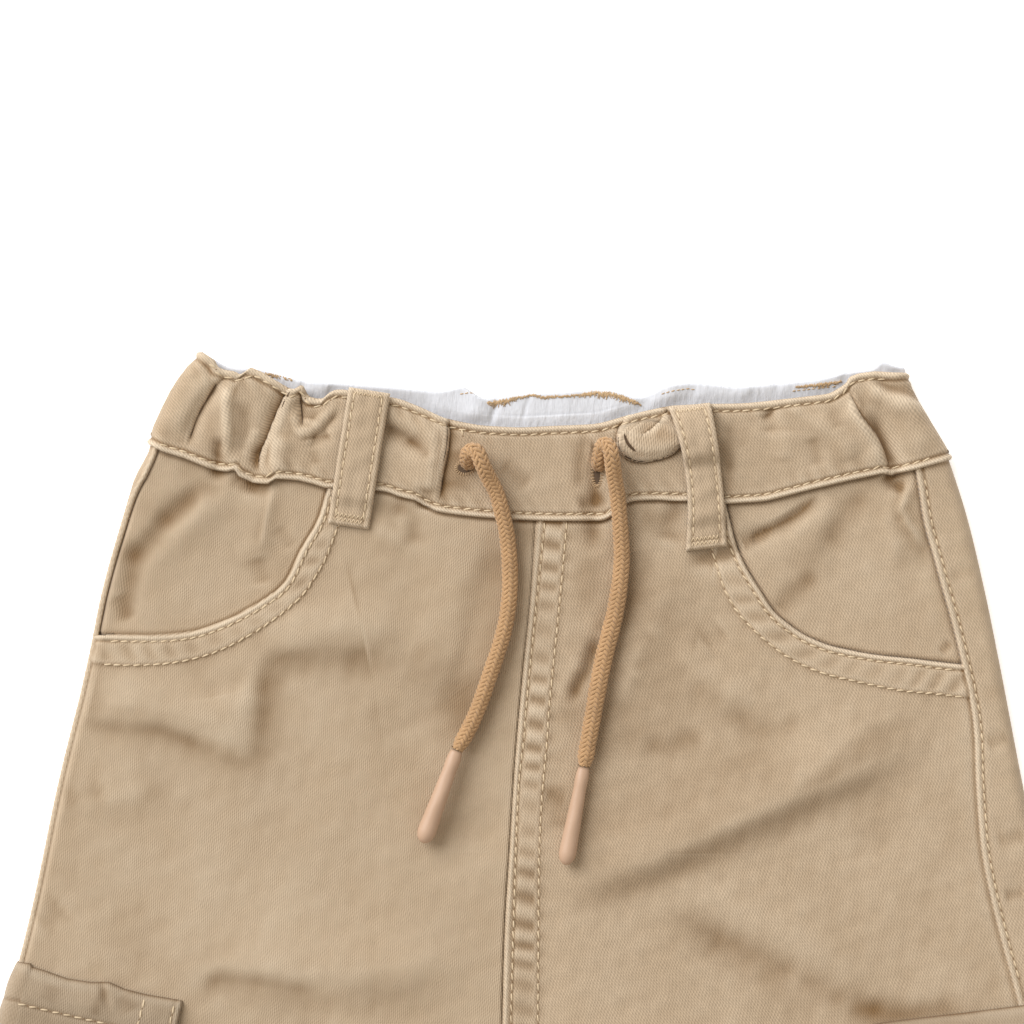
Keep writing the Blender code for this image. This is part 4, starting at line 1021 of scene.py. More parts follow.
def panel_ys(top):
    """Rows from a top edge down to the hem: fine where the photograph shows them."""
    fine = np.arange(PHOTO_FOOT_Y, top - 0.3, PHOTO_STEP)[::-1]
    lower = np.arange(HEM_Y, PHOTO_FOOT_Y - 1.0, LOWER_STEP)[::-1]
    hem = [HEM_Y + 20.5, HEM_Y + 19.5, HEM_Y + 18.5, HEM_Y + 1.2, HEM_Y + 0.5]
    return np.unique(np.concatenate([[top], fine, lower, hem]))[::-1]


def hem_relief(y):
    """The turned hem's stitch row and its rounded edge."""
    z = -0.45 * bell(y - (HEM_Y + HEM_DEPTH - 1.5), 0.9)
    return z - 1.0 * roll(y - HEM_Y, 1.4)


# How far towards the centre the column of the pocket's inner corner lies at LEVEL_Y.
CORNER_SHIFT = 18.0


def front_leg(side):
    """A front panel: its top edge is the pocket's mouth, then the waist seam."""
    mouth = MOUTH_LINES[side][::-1]
    inside = side * (side_seam_x(side, mouth[:, 1], -0.8) - mouth[:, 0]) > 0.4
    mouth = mouth[inside]
    corner_share = float(share_of(*MOUTH[side][0]))
    centre_share = float(share_of(centre_x(200.0), 200.0)) + side * 0.006
    shares = np.linspace(corner_share, centre_share, SEAM_COLUMNS)
    seam_x, seam_y = place_at(shares, SEAM_Y)
    seam = np.stack([seam_x, seam_y + UNDER_BAND], -1)
    mouth = mouth[:-2]
    top = np.concatenate([mouth, seam])
    columns = len(top) + 1
    top_station = station_of(side, top[:, 0], top[:, 1])
    top_station = np.minimum(np.concatenate([top_station, [3.0]]), 3.0)
    top_y = np.concatenate([top[:, 1], [top[-1, 1]]])
    first = float(station_of(side, side_seam_x(side, LEVEL_Y, -0.8), LEVEL_Y))
    corner = float(station_of(side, MOUTH[side][0][0] - side * CORNER_SHIFT, LEVEL_Y))
    gone = np.abs(mouth[:, 0] - mouth[0, 0]) / abs(mouth[-1, 0] - mouth[0, 0])
    gone = 0.5 * gone + 0.5 * np.linspace(0.0, 1.0, len(mouth))
    under_mouth = first + (corner - first) * gone
    middle = np.linspace(corner, 2.0, columns + 1 - len(mouth) - INNER_COLUMNS)[1:]
    level = np.concatenate([under_mouth, middle, np.linspace(2.0, 3.0, INNER_COLUMNS + 1)[1:]])
    t = np.append(steps_between((0.0, 0.045, 9), (0.045, 1.0, 110)), 1.0)
    ys = top_y + (LEVEL_Y - top_y) * t[:, None]
    blend = (1 - (1 - t) ** 1.6)[:, None]
    stations = top_station + (level - top_station) * blend
    lower = panel_ys(LEVEL_Y)[1:]
    ys = np.concatenate([ys, np.tile(lower[:, None], (1, columns))])
    stations = np.concatenate([stations, np.tile(level, (len(lower), 1))])
    seam_station = station_of(side, side_seam_x(side, ys[:, 0], -0.8), ys[:, 0])
    away = np.arange(columns) / (columns - 1)
    pull = np.clip(1 - away / 0.5, 0, 1) ** 1.5
    stations = stations + (seam_station - stations[:, 0])[:, None] * pull
    grid, out, weave = laid_on(side, stations, ys)
    x = grid[..., 0]
    y = grid[..., 1]
    first_in, along = inward_of(side, x, y, MOUTH_LINES[side])
    second_in, _ = inward_of(side, x, y, ROW_LINES[side])
    second_in = np.where(second_in > 90, 9.0, second_in)
    on_band = ease((first_in + 0.2) / 0.5) * ease((0.9 - second_in) / 1.3) * (first_in < 14)
    lift = MOUTH_BAND * on_band
    lift -= 1.3 * roll(first_in, 1.0) * (first_in < 3)
    lift += 0.28 * bell(first_in - 0.8, 0.7)
    lift -= 0.32 * bell(first_in - 1.9, 0.45) + 0.3 * bell(second_in, 0.45)
    between = on_band * ease((first_in - 2.2) / 1.5) * ease((-second_in - 0.4) / 1.2)
    lift += 0.2 * between * puckered(along, first_in, 6.8, 4 + side)
    # Painted shade in the stitch grooves; the mouth's folded edge is paler with wear.
    tone = 0.55 * bell(first_in - 0.6, 0.7) - 0.35 * bell(first_in - 1.9, 0.4)
    tone -= 0.3 * bell(second_in, 0.4)
    from_seam = side * (side_seam_x(side, y) - x)
    lift -= 0.4 * (1 - ease((from_seam + 0.3) / 1.7)) * (stations < 1.8)
    # A painted shadow along the side seam.
    tone -= (0.4 if side == LEFT else 0.6) * bell(from_seam - 0.15, 0.4) * (stations < 1.8)
    lift_centre, tone_centre = fly_relief(side, x, y)
    lift += lift_centre
    tone += tone_centre
    seam_edge = waist_seam_y(x, y) - y
    lift -= 0.35 * bell(seam_edge - 0.1, 0.9) * (first_in > 0.5)
    # A painted shadow under the waist seam's edge.
    tone -= 0.7 * bell(seam_edge - 0.35, 0.55) * (np.abs(first_in) > 0.3)
    lift += hem_relief(y)
    # Painted shade in the hem's stitch groove.
    tone -= 0.3 * bell(y - (HEM_Y + HEM_DEPTH - 1.5), 0.8)
    grid = grid + out * lift[..., None]
    tone = tone + relief_shade_and_wear(height(x, y) + lift) + painted_shade_at(x, y)
    if side == LEFT:
        last = ease((stations - 2.6) / 0.4) * (1 - leg_opening(ys))
        grid[..., 0] += 0.9 * last
        grid[..., 2] -= 0.7 * last
    rim = grid[3:4] - out[3:4] * 1.5
    grid = np.concatenate([rim, grid])
    weave = np.concatenate([weave[3:4], weave])
    tone = np.concatenate([tone[:1], tone])
    word = WORD[side]
    return cloth_mesh("leg_front_" + word, "front_leg_" + word, grid, weave, tone, leg_twill[side])


FLY_LINES = [fine_line(in_frame(row), 1.0) for row in FLY_ROWS]


def fly_relief(side, x, y):
    """The mock fly on the right panel: its edge, its two stitch rows and puckers."""
    lift = np.zeros(x.shape)
    tone = np.zeros(x.shape)
    above = ease((y - CROTCH_Y + 2) / 10.0)
    across = x - centre_x(y)
    if side == LEFT:
        lift -= 0.25 * bell(across + 0.2, 0.5) * above
        # A painted shadow under the fly's edge.
        tone -= 1.1 * bell(across + 0.2, 0.3) * above
        return lift, tone
    twist = np.sin(TURN * (y + 0.9 * across) / 2.4)
    edge = bell(across - 0.7, 0.7) * above
    lift += (0.35 + 0.06 * twist) * edge
    # The fly's folded edge is paler with wear and, along its twist, with painted highlight.
    tone += (0.4 + 0.12 * twist) * edge
    near, signed, _ = near_line(x, y, FLY_LINES[1], 9.0)
    outside = np.where(across > 4, 9.0, -9.0)
    outside[near] = signed
    on_fly = ease((1.4 - outside) / 1.8) * (across > -1) * above
    lift += 0.45 * on_fly * ease((across - 0.2) / 0.8)
    for line in FLY_LINES:
        close, away, _ = near_line(x, y, line, 3.0)
        lift[close] -= 0.3 * bell(away, 0.5) * above[close]
        # Painted shade in the stitch grooves.
        tone[close] -= 0.35 * bell(away, 0.5) * above[close]
    between = ease((across - 2.4) / 1.2) * ease((-outside - 0.6) / 1.2) * above
    wave = puckered(-y, -across * 0.35, 6.6, 21)
    lift += 0.33 * between * wave
    # Painted shade and painted highlight that follow the puckers.
    tone += 0.28 * between * wave
    beyond = np.clip(outside, 0, None)
    lift += 0.12 * puckered(-y, -across * 0.35, 5.9, 21) * bell(beyond, 3.0) * (outside > 0.5) * above
    return lift, tone


def back_leg(side):
    """A back panel, flat on the table and wrapped over the side to its seam."""
    seam_top = seam_top_y(side)
    rows_y = panel_ys(seam_top + UNDER_BAND)
    fixed = steps_between((-3.0, -2.0, 6), (-2.0, -1.0, 28), (-1.0, 0.0, 7))
    strip = np.linspace(0.0, 1.0, 22 if side == LEFT else 34)
    count = len(fixed) + len(strip)
    ys = np.tile(rows_y[:, None], (1, count))
    under = height_on(side, fixed, BACK_SHARE, BACK_SEAM_Y)
    over = np.full(len(strip), seam_top)
    for _ in range(6):
        inset = np.abs(side_seam_x(side, over) - outer_x(side, over))
        x = outer_x(side, over) - side * inset * strip**1.6
        over = waist_seam_y(x, over)
    edge = np.concatenate([under, over]) + UNDER_BAND
    share = np.clip((rows_y - LEVEL_Y) / (seam_top + UNDER_BAND - LEVEL_Y), 0, 1)
    ys = ys + share[:, None] * (edge - seam_top - UNDER_BAND)[None, :]
    stations = np.tile(np.concatenate([fixed, strip]), (len(rows_y), 1))
    strip_y = ys[:, len(fixed) :]
    inset = np.abs(side_seam_x(side, strip_y) - outer_x(side, strip_y))
    strip_x = outer_x(side, strip_y) - side * inset * strip**1.6
    stations[:, len(fixed) :] = station_of(side, strip_x, strip_y)
    grid, out, weave = laid_on(side, stations, ys)
    x = grid[..., 0]
    y = grid[..., 1]
    on_top = stations >= 0
    from_seam = side * (x - side_seam_x(side, y))
    twist = np.sin(TURN * (y + 0.8 * from_seam) / 2.3)
    ridge = bell(from_seam - 0.85, 0.75 if side == LEFT else 0.95) * on_top
    lift = (0.4 + 0.09 * twist) * ridge
    lift -= 0.8 * roll(from_seam, 0.7) * on_top
    # The seam's ridge is paler with wear and, along its twist, with painted highlight.
    tone = (0.35 + 0.25 * twist) * ridge
    if side == RIGHT:
        lift -= 0.3 * bell(from_seam - 2.5, 0.5) * on_top
        # Painted shade in the stitch groove.
        tone -= 0.3 * bell(from_seam - 2.5, 0.5) * on_top
    lift += hem_relief(y) * (grid[..., 2] > 2.0)
    waist_edge = waist_seam_y(x, y) - y
    # A painted shadow under the waist seam's edge.
    tone -= 0.7 * bell(waist_edge - 0.35, 0.55) * on_top
    grid = grid + out * lift[..., None]
    tone = tone + (relief_shade_and_wear(height(x, y) + lift) + painted_shade_at(x, y)) * on_top
    rim = grid[:, -4:-3] - out[:, -4:-3] * 1.4
    rim[..., 0] += side * 0.6
    grid = np.concatenate([grid, rim], axis=1)
    weave = np.concatenate([weave, weave[:, -4:-3]], axis=1)
    tone = np.concatenate([tone, tone[:, -1:]], axis=1)
    word = WORD[side]
    return cloth_mesh("leg_back_" + word, "back_leg_" + word, grid, weave, tone, leg_twill[side])


def pocket_facing(side):
    """The piece that shows inside a hip pocket and runs on under the front panel."""
    inner_end = side * (abs(MOUTH[side][0][0]) - 1.5)
    columns = 110
    rows = 80
    c = np.linspace(0.0, 1.0, columns)
    r = np.linspace(0.0, 1.0, rows)[:, None]
    ys = np.full((rows, columns), 190.0)
    for _ in range(5):
        seam_x = side_seam_x(side, ys, -0.9)
        xs = seam_x + (inner_end - seam_x) * c
        top = waist_seam_y(xs[0], ys[0]) + UNDER_BAND
        foot = mouth_y(side, xs[-1]) - 6.0
        ys = top + (foot - top) * r
    stations = station_of(side, xs, ys)
    grid, out, weave = laid_on(side, stations, ys)
    x = grid[..., 0]
    y = grid[..., 1]
    inward, _ = inward_of(side, x, y, MOUTH_LINES[side])
    drop = FACING_DROP + 1.1 * ease((inward + 1.2) / 1.8) * (inward < 90)
    from_seam = side * (side_seam_x(side, y) - x)
    drop += 0.4 * (1 - ease((from_seam + 0.3) / 1.7))
    # Painted shadows along the side seam, under the waist seam and under the pocket mouth's edge.
    tone = -(0.4 if side == LEFT else 0.6) * bell(from_seam - 0.15, 0.4)
    waist_edge = waist_seam_y(x, y) - y
    tone -= 0.75 * bell(waist_edge - 0.35, 0.6)
    tone -= 0.35 * bell(inward + 0.3, 0.5)
    grid = grid - out * drop[..., None]
    tone = tone + relief_shade_and_wear(height(x, y)) * (inward < -2) + painted_shade_at(x, y)
    word = WORD[side]
    return cloth_mesh("hip_pocket_" + word, "pocket_facing_" + word, grid, weave, tone, leg_twill[side])


def waistband(kind):
    """The gathered waistband's front or back, from fold to fold."""
    near = np.array([0.0, 0.12, 0.35, 0.65, 1.0, 1.4, 1.8, 2.2, 2.6, 3.1, 3.6])
    middle = np.linspace(0.0, 1.0, 44)[1:-1]
    front = kind == "front"
    if front:
        shares = np.linspace(0.0, 1.0, BAND_COLUMNS)
        high = np.interp(shares, SHARE, FRONT_TOP_Y)
        low = np.interp(shares, SHARE, SEAM_Y)
    else:
        stations = np.append(steps_between((-3.0, -2.0, 9), (-2.0, -1.0, 110), (-1.0, 0.0, 9)), 0.0)
        high = height_on(WAIST, stations, SHARE, BACK_TOP_Y) - 3.2 * ease((stations + 1.5) / 0.4)
        high = high - 1.6 * ease((-2.6 - stations) / 0.3)
        low = height_on(WAIST, stations, BACK_SHARE, BACK_SEAM_Y)
    rows = [high - a for a in near]
    rows += [(high - near[-1]) + (low + near[-1] - high + near[-1]) * m for m in middle]
    rows += [low + a for a in near[::-1]]
    ys = np.array(rows)
    if front:
        stations = station_of(WAIST, across_waist(shares, ys), ys)
    else:
        stations = np.tile(stations, (len(ys), 1))
    grid = tube(WAIST, stations, ys)
    out = outward_of(grid) if front else -outward_of(grid)
    if not front:
        out = np.where((out[..., 2:] > 0) & (grid[..., 2:] < 1.0), -out, out)
    weave = weave_of(WAIST, grid, stations)
    from_top = high - ys
    from_low = ys - low
    shown = 1.0 if front else ease((grid[..., 2] - 1.0) / 3.0)
    lift = BAND_RISE * shown + np.zeros(ys.shape)
    lift += shown * 0.25 * bell(from_top - 0.9, 0.8)
    lift -= shown * 0.4 * bell(from_top - 2.3, 0.5)
    lift -= shown * 1.3 * roll(from_top, 1.1)
    lift += shown * 0.4 * bell(from_low - 0.75, 0.75)
    lift -= shown * 0.45 * bell(from_low - 2.2, 0.5)
    lift -= shown * 1.25 * roll(from_low, 0.75)
    # Paler folded edges with wear, painted shade in the stitch grooves and a painted shadow under the lower
    # edge.
    tone = 0.3 * bell(from_top - 0.6, 0.7) - 0.4 * bell(from_top - 2.3, 0.45)
    tone += 0.75 * bell(from_low - 0.8, 0.7) - 0.4 * bell(from_low - 2.2, 0.45)
    tone -= 0.9 * bell(from_low + 0.05, 0.3)
    gather = puckered(grid[..., 0], from_low, 5.2, 31) * bell(from_low - 3.0, 3.2)
    gather += puckered(grid[..., 0], -from_top, 5.6, 33) * bell(from_top - 3.4, 3.0)
    lift += shown * 0.16 * gather
    if front:
        tone = tone + relief_shade_and_wear(height(grid[..., 0], ys) + lift) + painted_shade_at(grid[..., 0], ys)
    grid = grid + out * lift[..., None]
    inner_top = grid[3:4] - out[3:4] * BAND_CLOTH * shown_at(shown, 3)
    deep_top = grid[8:9] - out[8:9] * BAND_CLOTH * shown_at(shown, 8)
    inner_low = grid[-4:-3] - out[-4:-3] * 1.7 * shown_at(shown, -4)
    grid = np.concatenate([deep_top, inner_top, grid, inner_low])
    weave = np.concatenate([weave[8:9], weave[3:4], weave, weave[-4:-3]])
    tone = np.concatenate([tone[:1], tone[:1], tone, tone[-1:]])
    return cloth_mesh("band_" + kind, "waistband_" + kind, grid, weave, tone, twill)


def shown_at(shown, row):
    """How much of an edge's turn one row of the waistband has."""
    if np.ndim(shown) == 0:
        return 1.0
    return np.maximum(shown[row][None, :, None], 0.3)


def waist_facing():
    """The gathered white facing that shows over the front's top edge."""
    shares = np.linspace(0.004, 0.999, FACING_COLUMNS)
    low = np.interp(shares, SHARE, FRONT_TOP_Y)
    high = np.interp(shares, SHARE, BACK_TOP_Y) + 0.35
    high = high + 1.9 * bell(shares - 0.972, 0.012) + 0.7 * bell(shares - 0.395, 0.018)
    rows = np.linspace(0.0, 1.0, 44)[:, None]
    ys = high + (low - FACING_BELOW - high) * rows
    xs = across_waist(shares, ys)
    free = ease((ys - low + 1.0) / 5.0)
    folds = np.zeros(xs.shape)
    for px, half, rise in FACING_FOLDS:
        folds = folds + rise * bell(xs - (px - PHOTO_X) * PIXEL - 0.25 * (ys - low), half)
    z = FACING_Z + FACING_CLOTH + FACING_WAVE * (0.55 + 0.5 * folds) * free
    z = z + 0.05 * wobble(xs * 1.6, ys * 0.5, 3.4, 19) - 1.2 * roll(high - ys, 1.0)
    strip = bell(xs - 4.0, 22.0) * ease((2.4 - np.abs(ys - low - 1.2)) / 0.5)
    z = z + 0.3 * strip
    grid = np.stack([xs, ys, z], -1)
    rim = grid[3:4] - np.array([0.0, 0.0, 1.2])
    grid = np.concatenate([rim, grid])
    # Paler on the raised strip, darker in a line along its upper edge, and painted shade in the folds'
    # hollows.
    tone = 0.5 * strip - 0.9 * bell(ys - low - 3.7, 0.3) * bell(xs - 4.0, 20.0)
    tone = tone - 0.25 * np.clip(-folds, 0, 1) * free
    tone = np.concatenate([tone[:1], tone])
    return cloth_mesh("facing_white", "waist_facing", grid, grid[..., :2], tone, white_cotton)


# Where the white facing folds: across on the photograph, half width and height.
FACING_FOLDS = [
    (262, 2, 0.7), (290, 1.6, -0.6), (318, 3, 0.6), (352, 2, -0.5), (395, 4, 0.4), (425, 2, -0.6),
    (472, 3.6, 1.3), (490, 0.9, -0.9), (521, 0.5, -0.5), (560, 3, 0.3), (612, 3, 0.5), (643, 2.2, -1.2),
    (668, 3.2, 1.1), (690, 1.4, -0.5), (742, 2.5, 0.6), (775, 1.6, -0.5), (815, 2.6, 0.5),
    (846, 1.5, -0.8), (897, 2.6, 1.2),
]


def cover(x, y):
    """The height of the topmost cloth of the front, waistband included."""
    seam = waist_seam_y(x, y)
    return height(x, y) + (y > seam - 1.1) * (BAND_RISE + 0.2)


def loop_bend(ends, t, u):
    """How far the right loop's sides bow to the right, and narrow, at half its length."""
    if ends[0][0] < 0:
        return 0.0 * t * u
    return np.sin(math.pi * t) * (1.7 - 0.9 * u)


def belt_loop(name, ends):
    """A flat loop laid over the waistband, on top of whatever is under it."""
    top, bottom = (np.array(end) for end in ends)
    run = bottom - top
    length = np.linalg.norm(run)
    run = run / length
    across = np.array([-run[1], run[0]])
    coarse = np.linspace(0.0, 1.0, 15)
    near = np.linspace(-0.54, 0.54, 9)
    rest = []
    for t in coarse:
        point = top + t * (bottom - top)
        window = []
        for shift in (-3.0, -1.5, 0.0, 1.5, 3.0):
            spots = point + run * shift + near[:, None] * across * LOOP_WIDTH
            window.append(cover(spots[:, 0], spots[:, 1]).max())
        rest.append(max(window))
    t = np.linspace(0.0, 1.0, 92)
    z = smooth(t, coarse, rest) + LAID_GAP + LOOP_BOW * np.sin(math.pi * t) + LOOP_CLOTH
    half = LOOP_WIDTH / 2
    u = np.array([0.0, 0.1, 0.3, 0.6, 1.0, 1.5, 2.0, 2.6, 3.4, 4.4, 5.4]) - half
    u = np.concatenate([u, [0.0], -u[::-1]])
    middle = top + t[:, None] * (bottom - top)
    bend = loop_bend(ends, t[:, None], u[None, :] / half)
    place = middle[:, None, :] + (u[None, :] + bend)[..., None] * across
    inside = half - np.abs(u)
    along = t * length
    end = np.minimum(along, length - along)
    lift = -LOOP_CLOTH * roll(inside, 1.0)[None, :] * np.ones((len(t), 1))
    lift = lift - 0.32 * bell(inside - 2.1, 0.5)[None, :]
    lift = lift + 0.15 * bell(inside - 4.3, 1.4)[None, :]
    lift = lift - LOOP_CLOTH * roll(end, 1.0)[:, None]
    lift = lift - 0.3 * bell(length - along - 2.4, 0.9)[:, None]
    # Paler at the folded sides and ends with wear, with painted shade in the stitch grooves.
    tone = 0.5 * bell(inside - 0.6, 0.7)[None, :] - 0.25 * bell(inside - 2.1, 0.45)[None, :]
    tone = tone + 0.5 * bell(end - 0.6, 0.7)[:, None]
    grid = np.concatenate([place, (z[:, None] + lift)[..., None]], -1)
    grid[..., 2] += 0.12 * wobble(grid[..., 0], grid[..., 1], 7.0, 9)
    rim_left = grid[:, 3:4] - np.array([0.0, 0.0, LOOP_CLOTH])
    rim_right = grid[:, -4:-3] - np.array([0.0, 0.0, LOOP_CLOTH])
    grid = np.concatenate([rim_left, grid, rim_right], axis=1)
    tone = np.concatenate([tone[:, :1], tone, tone[:, -1:]], axis=1)
    return cloth_mesh("loop_" + name[10:], name, grid, grid[..., :2], tone, twill)


def cargo_grid(side, depths, inset, columns):
    """Stations and heights of a cargo piece, and the shares along its two ways."""
    top, slope, width = CARGO[side]
    edge = np.linspace(-0.25, 1.0, 9)
    inner = np.linspace(TOP_ROUND, width - inset, columns)[1:]
    ys = np.zeros((len(depths), len(edge) + len(inner)))
    stations = np.zeros_like(ys)
    stations[:, : len(edge)] = edge
    ys[:, : len(edge)] = (top - depths)[:, None]
    y = top - depths[:, None] - slope * inner / width
    ys[:, len(edge) :] = y
    stations[:, len(edge) :] = station_of(side, outer_x(side, y) - side * inner, y)
    across = np.concatenate([np.zeros(len(edge)), inner / (width - inset)])
    return stations, ys, across


def pressed(out, depth):
    """How much thinner a pocket lies where it wraps around the leg's outer fold."""
    return 1 - 0.62 * out[..., 0] ** 2 * ease((30.0 - depth)[:, None] / 22.0)


def puff(across, depth):
    """How far a cargo pocket's bag stands off the leg, from its sides and foot."""
    sides = ease((1 - across) / 0.35) * ease((across + 0.25) / 0.35)
    return BAG_PUFF * sides * ease((BAG_DEPTH - depth) / 25.0)


def cargo_pocket(side):
    depths = np.concatenate([[BAG_TOP], np.arange(14.0, 44.0, 4.0), np.arange(44.0, 109.0, 1.6)])
    depths = np.concatenate([depths, [109.0, 109.5, 109.85, BAG_DEPTH]])
    stations, ys, across = cargo_grid(side, depths, BAG_INSET, 44)
    width = CARGO[side][2] - BAG_INSET
    face, out, weave = laid_on(side, stations, ys)
    foot = (BAG_DEPTH - depths)[:, None]
    inside = (1 - across)[None, :] * width
    edge = np.minimum(foot, inside)
    stand = LAID_GAP + POCKET_CLOTH + puff(across[None, :], depths[:, None])
    stand = stand - 1.2 * roll(edge, 1.1) - 0.3 * bell(edge - 2.0, 0.8)
    stand = stand + 0.15 * wobble(face[..., 0], face[..., 1], 14.0, 12)
    # Paler at the turned edges with wear, with painted shade in the stitch groove.
    tone = 0.5 * bell(edge - 0.7, 0.8) - 0.3 * bell(edge - 2.0, 0.7)
    grid = face + out * (stand * pressed(out, depths))[..., None]
    grid = edged(grid, out)
    weave = edged(weave, None)
    tone = edged(tone, None)
    word = WORD[side]
    return cloth_mesh("cargo_bag_" + word, "cargo_pocket_" + word, grid, weave, tone, leg_twill[side])


def edged(values, out):
    """Adds a turned-under row at the foot and a column at the inner side."""
    if out is None:
        values = np.concatenate([values, values[-3:-2]])
        return np.concatenate([values, values[:, -2:-1]], axis=1)
    foot = values[-3:-2] - out[-3:-2] * 1.1
    values = np.concatenate([values, foot])
    out = np.concatenate([out, out[-3:-2]])
    return np.concatenate([values, values[:, -2:-1] - out[:, -2:-1] * 1.1], axis=1)


# How the left flap's top edge waves: x, and how far it rises.
FLAP_WAVE = (
    [-158, -150, -142.5, -135.5, -130.5, -125.5, -119, -108],
    [0, -0.4, -1.2, -0.7, 0.5, -0.5, -0.6, 0],
)


def cargo_flap(side):
    """A cargo pocket's flap, seamed along its top and turned at its other edges."""
    depths = np.concatenate([[0.0, 0.15, 0.4, 0.8, 1.3], np.arange(1.9, 24.0, 0.62)])
    depths = np.concatenate([depths, np.arange(25.0, 40.5, 1.3), [41.0, 41.5, 41.85, FLAP_DEPTH]])
    stations, ys, across = cargo_grid(side, depths, 0.0, 74)
    width = CARGO[side][2]
    if side == LEFT:
        ys = ys + np.interp(tube(side, stations, ys)[..., 0], *FLAP_WAVE) * ease(1 - depths / 14.0)[:, None]
    face, out, weave = laid_on(side, stations, ys)
    x = face[..., 0]
    y = face[..., 1]
    bag = POCKET_CLOTH + puff(np.minimum(across, 1.0)[None, :], depths[:, None])
    over_bag = ease((depths + 2.0) / (BAG_TOP - 1.0))[:, None]
    stand = LAID_GAP + (bag + LAID_GAP) * over_bag + POCKET_CLOTH
    top = depths[:, None] + 0.0 * across
    foot = (FLAP_DEPTH - depths)[:, None] + 0.0 * across
    inside = (1 - across)[None, :] * width + 0.0 * depths[:, None]
    edge = np.minimum(foot, inside)
    stand = stand - 1.5 * roll(top, 1.5) - 1.1 * roll(edge, 1.0)
    stand = stand - 0.35 * bell(top - 11.0, 0.6) - 0.3 * bell(edge - 2.2, 0.5)
    stand = stand + 0.35 * bell(top - 5.0, 3.4) * (1 - across ** 4)[None, :]
    if side == LEFT:
        pleat = bell(x + 131.0 - 0.35 * (top - 5), 1.2) * bell(top - 3.0, 4.0)
        stand = stand - 0.7 * pleat
    stand = stand + 0.1 * wobble(x, y, 13.0, 14) * ease(top / 3)
    # A painted shadow along the seamed top, painted shade in the stitch grooves and over the whole flap,
    # and a paler rounded top and turned edges with wear.
    tone = 0.35 * bell(top - 1.6, 1.2) - 1.0 * bell(top, 0.35) + 0.4 * bell(edge - 0.7, 0.7)
    tone = tone - 0.35 * bell(top - 11.0, 0.5) - 0.2 * bell(edge - 2.2, 0.5) - 0.12
    tone = tone + 0.5 * relief_shade_and_wear(height(x, y) + stand) + painted_shade_at(x, y)
    grid = face + out * (stand * pressed(out, depths))[..., None]
    grid = edged(grid, out)
    weave = edged(weave, None)
    tone = edged(tone, None)
    word = WORD[side]
    return cloth_mesh("cargo_cover_" + word, "cargo_flap_" + word, grid, weave, tone, flap_painted_shade_twill)


class Nodes:
    """A short way to add nodes to a material and join them."""

    def __init__(self, name, roughness):
        self.material = bpy.data.materials.new(name)
        self.material.use_nodes = True
        self.tree = self.material.node_tree
        self.shader = self.tree.nodes["Principled BSDF"]
        self.put("Roughness", roughness)

    def join(self, value, socket):
        if isinstance(value, bpy.types.NodeSocket):
            self.tree.links.new(value, socket)
        else:
            socket.default_value = value

    def put(self, name, value):
        """Gives one input of the material's shader its value."""
        self.join(value, self.shader.inputs[name])

    def math(self, operation, first, second=0.0, third=0.0):
        node = self.tree.nodes.new("ShaderNodeMath")
        node.operation = operation
        self.join(first, node.inputs[0])
        self.join(second, node.inputs[1])
        self.join(third, node.inputs[2])
        return node.outputs[0]

    def vary(self, value, amount, base):
        """A base that a noise, which is 0.5 on average, moves up and down."""
        return self.math("MULTIPLY_ADD", self.math("SUBTRACT", value, 0.5), amount, base)

    def vectors(self, operation, vector, second, socket, output):
        """A vector node whose first input is a vector."""
        node = self.tree.nodes.new("ShaderNodeVectorMath")
        node.operation = operation
        self.join(vector, node.inputs[0])
        self.join(second, node.inputs[socket])
        return node.outputs[output]

    def dot(self, vector, direction):
        return self.vectors("DOT_PRODUCT", vector, direction, 1, "Value")

    def attribute(self, name, output):
        node = self.tree.nodes.new("ShaderNodeAttribute")
        node.attribute_name = name
        return node.outputs[output]

    def position(self):
        return self.tree.nodes.new("ShaderNodeTexCoord").outputs["Object"]

    def scaled(self, vector, scale):
        return self.vectors("MULTIPLY", vector, scale, 1, "Vector")

    def noise(self, vector, scale, detail=2.0, rough=0.5):
        node = self.tree.nodes.new("ShaderNodeTexNoise")
        self.join(vector, node.inputs["Vector"])
        node.inputs["Scale"].default_value = scale
        node.inputs["Detail"].default_value = detail
        node.inputs["Roughness"].default_value = rough
        return node.outputs["Fac"]

    def blend(self, share, first, second, how="MIX"):
        node = self.tree.nodes.new("ShaderNodeMix")
        node.data_type = "RGBA"
        node.blend_type = how
        node.clamp_factor = True
        self.join(share, node.inputs["Factor"])
        colours = [socket for socket in node.inputs if socket.type == "RGBA"]
        self.join(first, colours[0])
        self.join(second, colours[1])
        return [socket for socket in node.outputs if socket.type == "RGBA"][0]

    def brighten(self, colour, factor):
        """A colour times a number."""
        return self.vectors("SCALE", colour, factor, "Scale", "Vector")

    def bump(self, height, distance, strength=1.0):
        node = self.tree.nodes.new("ShaderNodeBump")
        node.inputs["Strength"].default_value = strength
        node.inputs["Distance"].default_value = distance
        self.join(height, node.inputs["Height"])
        self.put("Normal", node.outputs["Normal"])


